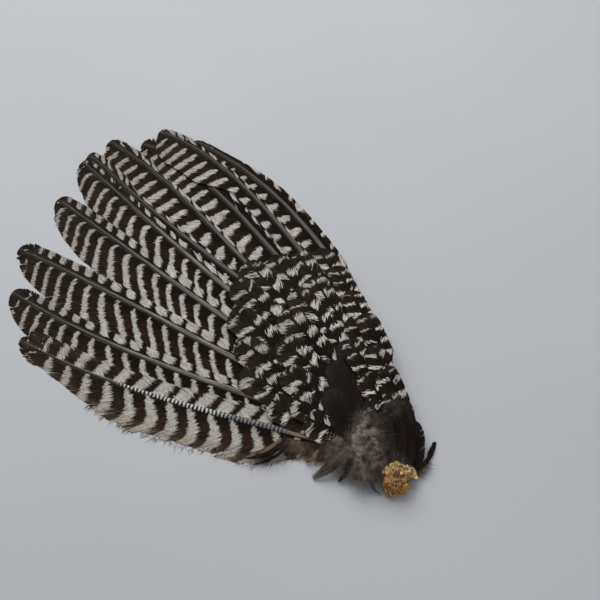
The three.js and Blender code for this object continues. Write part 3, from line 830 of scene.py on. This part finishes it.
def vane_bars(feather, side, along, offset, out, place, slip, rng):
    """What a vane's material reads at each point: the number of bars between it and the tip, the share of
    white there, and how worn it is. Out is the offset's share of the vane's width."""
    spec, flight, first, wide = feather.spec, feather.flight, feather.place == 1, side > 0
    from_tip = (1.0 - along) * feather.length
    if not flight:
        run = COVERT_BOW * np.sin(np.clip(offset / 9.0, 0.0, 1.6))
    elif wide:
        run = flight_run(offset, along, spec, first)
    else:
        run = spec["narrow_lean"] * offset * (1.0 - 1.1 * smooth((along - 0.60) / 0.3) if first else 1.0)
    counted = (from_tip + run) / spec["pitch"] if first else bars_from_tip(from_tip + run, spec["pitch"])
    phase = slip - counted + spec["phase"] + (0.0 if wide else spec["shift"])
    across = offset / spec["wide"]
    white = spec["white"] if wide else spec.get("narrow_white", spec["white"])
    share = white * (lerp(0.78, 1.50 if first else 1.22, across) if wide else 1.12)
    share = share * lerp(1.0, 0.86, smooth((along - 0.55) / 0.4))
    # Each bar has a width of its own, and in a covert also a place and a length across the vane.
    chance = rng.uniform(0.0, 1.0, (3, 64))[:, np.floor(phase).astype(int) % 64]
    if not flight:
        beyond = np.abs(out - lerp(0.35, 0.7, chance[1])) - lerp(0.30, 0.65, chance[2])
        share = share * lerp(0.60, 1.40, chance[0]) - 1.5 * np.maximum(beyond, 0.0)
        phase = phase + 0.20 * lattice_noise(*place, 11.0, 21)
    else:
        if not wide and feather.place <= INNER:
            share = share * lerp(0.88, 1.22, smooth((0.90 - along) / 0.40))
        if wide or feather.place < INNER:
            share = share * lerp(0.88, 1.12, chance[0])
        else:
            share = share * lerp(0.45, 1.40, chance[0])
            phase = phase + 0.35 * lattice_noise(*place, 12.0, 27)
    # Dark beside the shaft, flecked and then plain dark at the tip.
    band = spec["dark_wide"] if wide else spec["dark_narrow"]
    if flight and wide:
        share = share * lerp(0.45, 1.0, smooth((offset - band) / 6.0))
    share = share - 0.75 * smooth((band + 0.6 - offset) / 1.2)
    flecked = np.where(lattice_noise(*place, 2.6, 9) > 0.36, 0.5, -1.0)
    plain = spec["plain"] * (1.0 - 0.3 * offset / spec["wide"])
    share = np.where(from_tip > plain, share, np.where(from_tip > 0.25 * plain, flecked, -1.0))
    share = share if white > 0 else np.full_like(share, -1.0)
    wear_and_crease_shade = smooth((along - 0.62) / 0.36) * 0.9
    if first and wide:
        wear_and_crease_shade = np.maximum(wear_and_crease_shade, 2.0 * smooth((out - 0.48) / 0.5))
    return np.stack([phase, share, wear_and_crease_shade], -1)


def shaft(pile, feather, slot, sides=12):
    """A tube of oval section that thins towards the tip, with a shallow groove along its underside. Ring i
    is at the share s, and a point at the angle a stands radius * (broad * cos a, height * sin a) off the
    middle. A flight feather's inner half is broader than it is high, and its base is blunt."""
    s = 0.985 * np.linspace(0.0, 1.0, 70 if feather.flight else 23)[:, None]
    a = np.linspace(0.0, 2.0 * math.pi, sides, endpoint=False)
    radius, broad = feather.radius(s), 1.0
    if feather.flight:
        radius = radius * np.sqrt(np.clip(1.0 - (1.0 - np.clip(s / 0.012, 0.0, 1.0)) ** 2, 0.02, 1.0))
        broad = lerp(BROAD_QUILL, 1.0, smooth((s - 0.5) / 0.35))
    groove = 1.0 - 0.35 * np.exp(-((a - 1.5 * math.pi) / 0.45) ** 2)
    across = radius * broad * np.cos(a)
    rise = radius * np.where(np.sin(a) > 0, RIDGE + 0.12, KEEL - 0.06) * np.sin(a) * groove
    x, y = feather.beside(s, across)
    index = np.arange(len(s) * sides).reshape(len(s), sides)
    turned = np.roll(index, -1, axis=1)
    sheath = quads(index[:-1], index[1:], turned[1:], turned[:-1])
    caps = np.stack([index[0], index[-1][::-1]])
    points = stacked(x, y, feather.height(s, np.zeros_like(s)) + rise)
    barb = stacked(s * feather.length, across, feather.spec["seed"])
    pile.add(points, [sheath, caps], stacked(s, np.cos(a), np.sin(a)), barb, slot)


def dress(feather, materials, rng, slot_name):
    """Both vanes and the shaft of one feather, in place of its solid."""
    pile = Pile()
    vane(pile, feather, 1, rng, 0)
    vane(pile, feather, -1, rng, 0)
    shaft(pile, feather, 1)
    made = pile.piece(feather.name + "_barbs", materials)
    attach(made, ROOT)
    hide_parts(feather.name)


def row_feathers(row_name):
    """The feathers of a row, each with its own ends, seed and start of the bars."""
    row = ROWS[row_name]
    for i, (base, tip) in enumerate(zip(row["bases"], row["tips"])):
        spec = {**row, "base": base, "tip": tip, "seed": 11.0 + 3.7 * i + len(row_name), "phase": 0.37 * i,
                "shift": 0.15 * (i % 3), **PLAIN_FEATHER}
        yield Feather(f"{row_name}_{i + 1:02d}", spec)


def lattice_noise(x, y, cell, seed):
    """Smooth noise from -1 to 1: seeded random numbers on a square lattice, blended with a smooth step."""
    table = np.random.default_rng(seed).uniform(-1.0, 1.0, (64, 64))
    u, v = x / cell, y / cell
    i, j = np.floor(u).astype(int), np.floor(v).astype(int)
    a, b = smooth(u - i), smooth(v - j)
    i, j = i % 64, j % 64
    k, m = (i + 1) % 64, (j + 1) % 64
    return lerp(lerp(table[i, j], table[k, j], a), lerp(table[i, m], table[k, m], a), b)


def filled_rings(level):
    """Replaces missing heights by the one a ring further in."""
    for ring in range(1, len(level)):
        level[ring] = np.where(np.isfinite(level[ring]), level[ring], level[ring - 1])
    return level


def grid_normals(points):
    """Outward unit normals of a grid of rings and spokes, from the differences to the next points."""
    along = np.gradient(points, axis=0)
    around = np.roll(points, -1, axis=1) - np.roll(points, 1, axis=1)
    normal = np.cross(along, around)
    normal[0] = (0.0, 0.0, 1.0)
    return unit(normal, 1e-9)


def mound(pile, name, shape, slot, relief, rings, spokes):
    """A closed lumpy mound over its solid. Its plan is an oval: ring i and spoke j stand at i / rings of the
    oval's radius in the spoke's direction. The top is the solid's, raised and pushed outward by noise of
    several sizes along its normals, and the underside is the solid's underside. A lean turns its two ends
    to either side, and a waist draws it in between them."""
    start, stop = np.array(shape["from"], float), np.array(shape["to"], float)
    middle, half = (start + stop) / 2.0, np.linalg.norm(stop - start) / 2.0
    ahead = (stop - start) / (2.0 * half)
    ring, spoke = np.meshgrid(np.linspace(0.0, 1.0, rings),
                              np.linspace(0.0, 2 * math.pi, spokes, endpoint=False), indexing="ij")
    reach = np.sin(0.5 * math.pi * ring)
    u = reach * half * np.cos(spoke)
    v = reach * shape["half_width"] * np.sin(spoke) * lerp(*shape["taper"], 0.5 + 0.5 * u / half)
    waist = shape.get("waist", 0.0) * np.exp(-((u / half - 0.12) / 0.2) ** 2)
    v = v * (1.0 - waist) - shape.get("lean", 0.0) * u / half
    x = middle[0] + u * ahead[0] - v * ahead[1]
    y = middle[1] + u * ahead[1] + v * ahead[0]
    near = middle[0] + (x - middle[0]) * NEAR_RIM, middle[1] + (y - middle[1]) * NEAR_RIM
    top, under = filled_rings(top_of(name, *near)), filled_rings(top_of(name, *near, -1.0))
    round_off = np.sqrt(np.clip(1.0 - reach ** 6, 0.0, 1.0))
    high = under + LEAST_THICK + np.maximum(top - under - LEAST_THICK, 0.4) * lerp(0.25, 1.0, round_off)
    high -= waist * 0.9 * (high - under)
    bump = sum(size * lattice_noise(x + 0.6 * high, y + 0.8 * high, cell, 5 + k)
               for k, (cell, size) in enumerate(relief)) - 0.4 * relief[0][1]
    lumpy = stacked(x, y, high)
    lumpy = lumpy + grid_normals(lumpy) * bump[..., None]
    lumpy[..., 2] = np.maximum(lumpy[..., 2], under + LEAST_THICK)
    index = np.arange(2 * rings * spokes).reshape(2, rings, spokes)
    (above, below), (above_next, below_next) = index, np.roll(index, -1, axis=2)
    faces = [
        quads(above[1:-1], above[2:], above_next[2:], above_next[1:-1]),
        quads(below_next[1:-1], below_next[2:], below[2:], below[1:-1]),
        quads(above[-1], below[-1], below_next[-1], above_next[-1]),
        np.stack([np.full(spokes, above[0, 0]), above[1], above_next[1]], -1),
        np.stack([np.full(spokes, below[0, 0]), below_next[1], below[1]], -1),
    ]
    # All points of the innermost ring are one place, so only the first of them is used.
    used = np.ones(index.size, bool)
    used[index[:, 0, 1:]] = False
    renumber = np.cumsum(used) - 1
    points = np.stack([lumpy, stacked(lumpy[..., 0], lumpy[..., 1], under)]).reshape(-1, 3)[used]
    pile.add(points, [renumber[block] for block in faces], points, 0.0 * points, slot)
    return lumpy


def strands(pile, root, ahead, curl, length, thick, seed, slot, rings=6, sides=3):
    """Tapered threads. A thread's middle line is root + length * (ahead * t + curl * t * t), kept above the
    floor, and its radius falls off from thick at the root to nearly nothing at t = 1."""
    t = np.linspace(0.0, 1.0, rings)[None, :, None]
    length, thick, seed = length[:, None, None], thick[:, None, None], seed[:, None, None]
    middle = root[:, None] + length * (ahead[:, None] * t + curl[:, None] * t * t)
    radius = thick * (1.0 - 0.93 * t)
    middle[..., 2:] = np.maximum(middle[..., 2:], 0.15 + radius)
    tangent = unit(ahead[:, None] + 2.0 * curl[:, None] * t)
    aside = unit(np.cross(tangent, NEAR_UPRIGHT))
    up = np.cross(aside, tangent)
    angle = 0.5 * math.pi + np.arange(sides) * 2.0 * math.pi / sides
    points = np.stack([middle + radius * (math.cos(a) * aside + math.sin(a) * up) for a in angle], 2)
    index = np.arange(len(root) * rings * sides).reshape(len(root), rings, sides)
    turned = np.roll(index, -1, axis=2)
    sheath = quads(index[:, :-1], turned[:, :-1], turned[:, 1:], index[:, 1:])
    caps = np.vstack([index[:, 0, ::-1], index[:, -1]])
    none = np.zeros(index.shape)
    pile.add(points, [sheath, caps], stacked(t, seed, none), stacked(length * t, none, seed), slot)


def chances(rng, count, *ends):
    """Random numbers for threads: one array for each pair of ends, and one from 0 to 1 for their shades."""
    return [rng.uniform(low, high, count) for low, high in (*ends, (0.0, 1.0))]


def curved_strands(pile, line, thick, seed, slot, rings, sides=3):
    """Tapered threads along quadratics, each given by its start, its bend and its end."""
    start, bend, end = line
    ahead, curl = 2.0 * (bend - start), end - 2.0 * bend + start
    strands(pile, start, ahead, curl, np.ones(len(start)), thick, seed, slot, rings, sides)


def lifted(points, names, gap):
    """The points, raised where that is needed to stand above the named solids' tops by the gap."""
    for name in names:
        points[:, 2] = np.fmax(points[:, 2], top_of(name, points[:, 0], points[:, 1]) + gap)
    return points


def curled_blade(pile, middle, half_width, rng, slot):
    """Strands side by side along a quadratic middle line. They start apart by the half width, bulge at the
    bend, and draw together at the end."""
    count = 20 + int(20 * half_width)
    apart = np.linspace(-1.0, 1.0, count)[:, None] * half_width
    ahead = (middle[2] - middle[0])[:2]
    aside = np.array([-ahead[1], ahead[0], 0.0]) / np.linalg.norm(ahead)
    over = ("flight_feather_01",)
    start = lifted(middle[0] + aside * apart * 0.6, over, 1.0)
    bend = lifted(middle[1] + aside * apart * 1.5 + rng.normal(0.0, 0.3, (count, 3)), over, 1.0)
    bend[:, 2] += 2.5
    end = middle[2] + aside * apart * 0.3 + rng.normal(0.0, 0.7, (count, 3)) * (1.0, 1.0, 0.2)
    curved_strands(pile, (start, bend, end), *chances(rng, count, (0.26, 0.50)), slot, rings=9)


# ---- Operators ----

class WING_OT_stage(bpy.types.Operator):
    """Makes the floor, the soft light and the camera"""
    bl_idname = "wing.stage"
    bl_label = "Stage"

    def execute(self, context):
        scene = context.scene
        self.floor(scene)
        for name, lamp in LAMPS.items():
            self.light(scene, name, lamp)
        world = bpy.data.worlds.new("room")
        world.use_nodes = True
        feed(world.node_tree.nodes["Background"].inputs, {"Color": (0.93, 0.96, 1.0), "Strength": 0.30})
        scene.world = world
        camera = bpy.data.objects.new("camera", bpy.data.cameras.new("camera"))
        camera.data.lens = CAMERA["lens"]
        camera.data.sensor_width = CAMERA["sensor"]
        camera.location = times(MM, CAMERA["place"])
        camera.rotation_euler = (math.radians(90.0 - CAMERA["looks_down"]), 0.0, 0.0)
        scene.collection.objects.link(camera)
        scene.camera = camera
        scene.view_settings.view_transform = "Standard"
        return {"FINISHED"}

    def floor(self, scene):
        """A wide pale board under the wing."""
        mesh = bpy.data.meshes.new("floor")
        corners = [(-FLOOR_REACH, -FLOOR_REACH), (FLOOR_REACH, -FLOOR_REACH), (FLOOR_REACH, FLOOR_REACH),
                   (-FLOOR_REACH, FLOOR_REACH)]
        mesh.from_pydata([(*corner, 0) for corner in corners], [], [(0, 1, 2, 3)])
        floor = bpy.data.objects.new("floor", mesh)
        scene.collection.objects.link(floor)
        material, tree, shader = started("floor_board")
        grain, cloud = noise(spot(tree), 900.0, 3.0), noise(spot(tree), 3.0, 2.0)
        shade = ramped(grain, 0.3, 0.7, 0.985, 1.015) + ramped(cloud, 0.3, 0.7, -0.02, 0.02)
        feed(shader, {"Base Color": scaled(tuple(colours().floor), shade), "Roughness": 0.75})
        mesh.materials.append(material)

    def light(self, scene, name, lamp):
        """An area light that faces the middle of the wing."""
        light = bpy.data.lights.new(name, "AREA")
        light.size = lamp["size"]
        light.energy = lamp["power"]
        made = bpy.data.objects.new(name, light)
        made.location = lamp["place"]
        aim = np.array(WING_MIDDLE) - lamp["place"]
        down = math.acos(-aim[2] / np.linalg.norm(aim))
        made.rotation_euler = (down, 0.0, math.atan2(aim[1], aim[0]) + 1.5 * math.pi)
        scene.collection.objects.link(made)


class WING_OT_flight_feathers(bpy.types.Operator):
    """Makes the ten flight feathers"""
    bl_idname = "wing.flight_feathers"
    bl_label = "Flight feathers"

    def execute(self, context):
        tint = colours()
        vanes = vane_material("flight_vane", 0.40, tint.dark, times(0.97, tint.white), tint.buff, beside=0.9)
        # The first feather's whites are 0.88 of the others': partly a greyer white, partly painted shade over
        # that feather.
        first_vanes = vane_material("first_vane", 0.42, times(1.3, tint.dark), times(0.88, tint.white),
                                    times(1.35, tint.buff), beside=0.6)
        inner = shaft_material("flight_shaft", (0.22, 0.168, 0.125), tint.shaft, (0.032, 0.024, 0.019))
        outer = shaft_material("outer_shaft", (0.105, 0.082, 0.062), (0.060, 0.047, 0.038),
                               (0.022, 0.017, 0.014))
        inked = shaft_material("first_shaft", (0.34, 0.25, 0.17), (0.045, 0.043, 0.047),
                               (0.03, 0.026, 0.026), banded=True)
        rng = np.random.default_rng(7)
        for place, spec in enumerate(FLIGHT, start=1):
            own = {key: values[place - 1] for key, values in BARRING.items()}
            spec = {**spec, **own, "seed": 3.1 * place, "phase": 0.29 * place, "shift": 0.42}
            materials = [vanes, inner if place <= INNER else outer] if place > 1 else [first_vanes, inked]
            dress(Feather(f"flight_feather_{place:02d}", spec, place), materials, rng, "barred_vane")
        return {"FINISHED"}


class WING_OT_coverts(bpy.types.Operator):
    """Makes the barred coverts above and below the flight feathers"""
    bl_idname = "wing.coverts"
    bl_label = "Coverts"

    def execute(self, context):
        tint = colours()
        vanes = vane_material("covert_vane", 0.70, times(1.2, tint.dark), times(1.20, tint.white), tint.buff)
        grey = vane_material("under_vane", 0.5, (0.12, 0.10, 0.085), (0.42, 0.39, 0.35), tint.buff)
        horn = shaft_material("covert_shaft", **DARK_HORN)
        rng = np.random.default_rng(19)
        for row_name in ("greater_covert", "median_covert", "leading_covert", "under_covert"):
            finish, slot_name = (grey, "grey_vane") if row_name == "under_covert" else (vanes, "barred_vane")
            for feather in row_feathers(row_name):
                dress(feather, [finish, horn], rng, slot_name)
        return {"FINISHED"}


class WING_OT_dark_feathers(bpy.types.Operator):
    """Makes the plain dark feathers of the thumb and the wrist"""
    bl_idname = "wing.dark_feathers"
    bl_label = "Dark feathers"

    def execute(self, context):
        tint = colours()
        vanes = vane_material("plain_vane", 0.4, (0.0060, 0.0038, 0.0031), tint.white, tint.buff,
                              gloss=0.07, brown=(0.036, 0.015, 0.011))
        greyer = vane_material("grey_brown_vane", 0.4, (0.0115, 0.0092, 0.0068), tint.white, tint.buff,
                               gloss=0.07, brown=(0.034, 0.025, 0.018))
        horn = shaft_material("dark_shaft", **DARK_HORN)
        rng = np.random.default_rng(23)
        for row_name in DARK_ROWS:
            for feather in row_feathers(row_name):
                dress(feather, [greyer if feather.name == GREYER_FEATHER else vanes, horn], rng, "dark_vane")
        spec = {**LOOSE, **PLAIN_FEATHER, "seed": 91.0, "phase": 0.0, "shift": 0.0}
        dress(Feather("loose_feather", spec), [vanes, horn], rng, "dark_vane")
        return {"FINISHED"}


class WING_OT_down(bpy.types.Operator):
    """Makes the down at the wrist: a soft body with threads that stand out of it, and wisps beside it"""
    bl_idname = "wing.down"
    bl_label = "Down"

    def execute(self, context):
        rng = np.random.default_rng(31)
        self.tuft(rng)
        self.wisps(rng)
        return {"FINISHED"}

    def tuft(self, rng):
        """The body of the down, and threads that swirl over it and spread out beyond its rim."""
        fluff = down_material("fluff", colours().down, (0.050, 0.039, 0.032))
        pile = Pile()
        relief = [(8.0, 1.8), (3.2, 0.9), (1.4, 0.5)]
        body = mound(pile, "down_tuft", DOWN_TUFT, 0, relief, rings=44, spokes=120)
        count = sizes().down_strands
        ring = ((len(body) - 2) * np.sqrt(rng.uniform(0.0, 1.0, count))).astype(int)
        root = body[ring, rng.integers(0, body.shape[1], count)] - (0.0, 0.0, 0.6)
        out = unit(root[:, :2] - (np.array(DOWN_TUFT["from"]) + np.array(DOWN_TUFT["to"])) / 2.0, 1e-6)
        edge = (ring / len(body))[:, None]
        lift = rng.uniform(0.0, 0.28, (count, 1)) * (1.0 - edge ** 2)
        angle = 3.0 * lattice_noise(root[:, 0], root[:, 1], 7.0, 3) + rng.normal(0.0, 0.7, count)
        swirl = stacked(np.cos(angle), np.sin(angle))
        level = out * (0.05 + 0.75 * edge ** 3) + swirl * 0.8 + np.array([-0.10, -0.30])
        ahead = unit(np.column_stack([level, lift]))
        curl = np.column_stack([rng.normal(0.0, 0.65, (count, 2)), -rng.uniform(0.05, 0.3, count)])
        length = rng.uniform(3.0, 8.0, count)
        falls = ahead[:, 2] + curl[:, 2]
        to_floor = np.maximum(root[:, 2] - 0.4, 0.3) / np.maximum(-falls, 0.05)
        length = np.minimum(length, np.where(falls < 0, to_floor, length))
        strands(pile, root, ahead, curl, length, *chances(rng, count, (0.08, 0.18)), slot=0, rings=5)
        made = pile.piece("down_tuft_fluff", [fluff])
        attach(made, ROOT)
        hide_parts("down_tuft")

    def wisps(self, rng):
        """Wisps that lie out to the left, and darker fluff over the bases of the wrist feathers."""
        pile = Pile()
        for middle, spread, ahead, count, slot, thick, over in WISPS:
            root = lifted(np.array(middle, float) + rng.normal(0.0, 0.5, (count, 3)) * spread, over, 0.2)
            out = np.array(ahead, float) + rng.normal(0.0, 0.45, (count, 3)) * (1.0, 1.0, 0.4)
            back = rng.normal(0.0, 0.45, (count, 3)) * (1.0, 1.0, 0.3) - (0.0, 0.0, 0.1)
            strands(pile, root, out, back, *chances(rng, count, (3.0, 8.0), thick), slot, rings=5)
        shady = down_material("dark_fluff", (0.13, 0.098, 0.078), (0.024, 0.017, 0.013))
        # Painted light: the wisps' down is 1.35 times as bright, with a lighter dark, to lift the shade among
        # the thin threads.
        pale = down_material("lit_wisp_fluff", times(1.35, colours().down), (0.11, 0.088, 0.074))
        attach(pile.piece("down_wisps", [pale, shady]), ROOT)


class WING_OT_fringe(bpy.types.Operator):
    """Makes the loose barbs along the innermost feather's edge, and the hairs beside the wrist"""
    bl_idname = "wing.fringe"
    bl_label = "Fringe"

    def execute(self, context):
        rng = np.random.default_rng(41)
        pile = Pile()
        feather = Feather("flight_feather_01", FLIGHT[0], 1)
        self.edge_barbs(pile, feather, rng)
        for start, bend, end, half_width, slot in CURLED_BLADES:
            curled_blade(pile, np.array([start, bend, end], float), half_width, rng, slot)
        claw = np.array(CLAW, float)[:, None]
        curved_strands(pile, claw, np.array([3.0]), np.array([0.5]), slot=3, rings=16, sides=8)
        self.soft_barbs(pile, feather, rng)
        self.wrist_hairs(pile, rng)
        cream = down_material("edge_barb", (0.36, 0.26, 0.17), (0.10, 0.060, 0.034))
        dark = down_material("curled_barb", (0.040, 0.024, 0.016), (0.008, 0.006, 0.005))
        brown = down_material("soft_barb", (0.20, 0.135, 0.090), (0.070, 0.043, 0.028))
        horn = shaft_material("claw_horn", (0.012, 0.013, 0.016), (0.010, 0.010, 0.012), (0.05, 0.05, 0.055))
        made = pile.piece("loose_barbs", [cream, dark, brown, horn])
        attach(made, ROOT)
        return {"FINISHED"}

    def edge_barbs(self, pile, feather, rng, count=420):
        """Barbs that have come loose along the wide vane's edge."""
        share = 0.14 + 0.60 * rng.uniform(0.0, 1.0, count) ** 1.2
        offset = feather.width(share, 1) * rng.uniform(0.72, 0.99, count)
        place, ahead = route_at(feather.points, share)
        aside = left_of(ahead)
        height = feather.height(share, np.full(count, 0.9)) + rng.uniform(0.1, 0.5, count)
        root = np.column_stack([place + aside * offset[:, None], height])
        lean = rng.normal(0.55, 0.35, (count, 1))
        out = unit(np.column_stack([aside + ahead * lean, np.full(count, -0.10)]))
        back = np.column_stack([-ahead * rng.normal(0.25, 0.3, (count, 1)), -rng.uniform(0.0, 0.3, count)])
        strands(pile, root, out, back, *chances(rng, count, (2.0, 7.5), (0.12, 0.32)), slot=0)

    def soft_barbs(self, pile, feather, rng, count=900, pale=260):
        """Soft barbs at the feather's base, where the vane has no hold of its own. Some of them are pale."""
        share = rng.uniform(0.05, 0.21, count)
        place, ahead = route_at(feather.points, share)
        aside = left_of(ahead)
        root = np.column_stack([place + aside * rng.uniform(1.5, 9.0, (count, 1)),
                                feather.height(share, np.full(count, 0.3)) + 1.0])
        lean = rng.normal(0.35, 0.25, (count, 1))
        out = np.column_stack([aside + ahead * lean, rng.normal(0.05, 0.06, count)])
        back = np.column_stack([ahead * rng.normal(0.15, 0.25, (count, 1)), rng.normal(-0.22, 0.08, count)])
        own = chances(rng, count, (8.0, 17.0), (0.14, 0.34))
        for slot, some in ((0, slice(0, pale)), (2, slice(pale, count))):
            strands(pile, *(values[some] for values in (root, out, back, *own)), slot)

    def wrist_hairs(self, pile, rng):
        """Short stiff hairs that stand out below the loose feather."""
        count = WRIST_HAIRS["count"]
        low, high = np.array(WRIST_HAIRS["from"], float), np.array(WRIST_HAIRS["to"], float)
        root = lerp(low, high, rng.uniform(0.0, 1.0, (count, 1)))
        root = root + rng.normal(0.0, 1.2, (count, 3)) * (1.0, 1.0, 0.4)
        out = np.array([1.0, -0.25, 0.05]) + rng.normal(0.0, 0.35, (count, 3)) * (1.0, 1.0, 0.4)
        back = rng.normal(0.0, 0.15, (count, 3)) * (1.0, 1.0, 0.2)
        strands(pile, root, out, back, *chances(rng, count, (3.0, 8.0), (0.08, 0.18)), slot=2)


class WING_OT_tissue(bpy.types.Operator):
    """Makes the crumbly dried tissue at the cut, and the skin of the hand under the feathers"""
    bl_idname = "wing.tissue"
    bl_label = "Tissue and skin"

    def execute(self, context):
        pile = Pile()
        relief = [(8.0, 2.2), (3.4, 2.0), (1.6, 1.2), (0.8, 0.35)]
        mound(pile, "dried_tissue", DRIED_TISSUE, 0, relief, rings=90, spokes=210)
        made = pile.piece("dried_tissue_crumbs", [tissue_material("dried_crust", colours().tissue)], 60.0)
        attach(made, ROOT)
        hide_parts("dried_tissue")
        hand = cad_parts["hand"]
        hand.data.materials.clear()
        hand.data.materials.append(skin_material("wrinkled_skin"))
        return {"FINISHED"}


class WING_PT_panel(bpy.types.Panel):
    """Lists the steps that build the wing, in order"""
    bl_idname = "WING_PT_panel"
    bl_label = "Turkey wing"
    bl_space_type = "VIEW_3D"
    bl_region_type = "UI"
    bl_category = "Wing"

    def draw(self, context):
        for step in STEPS:
            self.layout.operator(step.bl_idname)
        for group in (context.scene.wing_sizes, context.scene.wing_colours):
            for key in group.__annotations__:
                self.layout.prop(group, key)


STEPS = (WING_OT_stage, WING_OT_flight_feathers, WING_OT_coverts, WING_OT_dark_feathers, WING_OT_down,
         WING_OT_fringe, WING_OT_tissue)
CLASSES = (WingSizes, WingColours, *STEPS, WING_PT_panel)


def register():
    for each in CLASSES:
        bpy.utils.register_class(each)
    bpy.types.Scene.wing_sizes = PointerProperty(type=WingSizes)
    bpy.types.Scene.wing_colours = PointerProperty(type=WingColours)


def unregister():
    del bpy.types.Scene.wing_colours
    del bpy.types.Scene.wing_sizes
    for each in reversed(CLASSES):
        bpy.utils.unregister_class(each)


def main():
    register()
    bpy.ops.wing.stage()
    bpy.ops.wing.flight_feathers()
    bpy.ops.wing.coverts()
    bpy.ops.wing.dark_feathers()
    bpy.ops.wing.down()
    bpy.ops.wing.fringe()
    bpy.ops.wing.tissue()


if __name__ == "__main__":
    main()
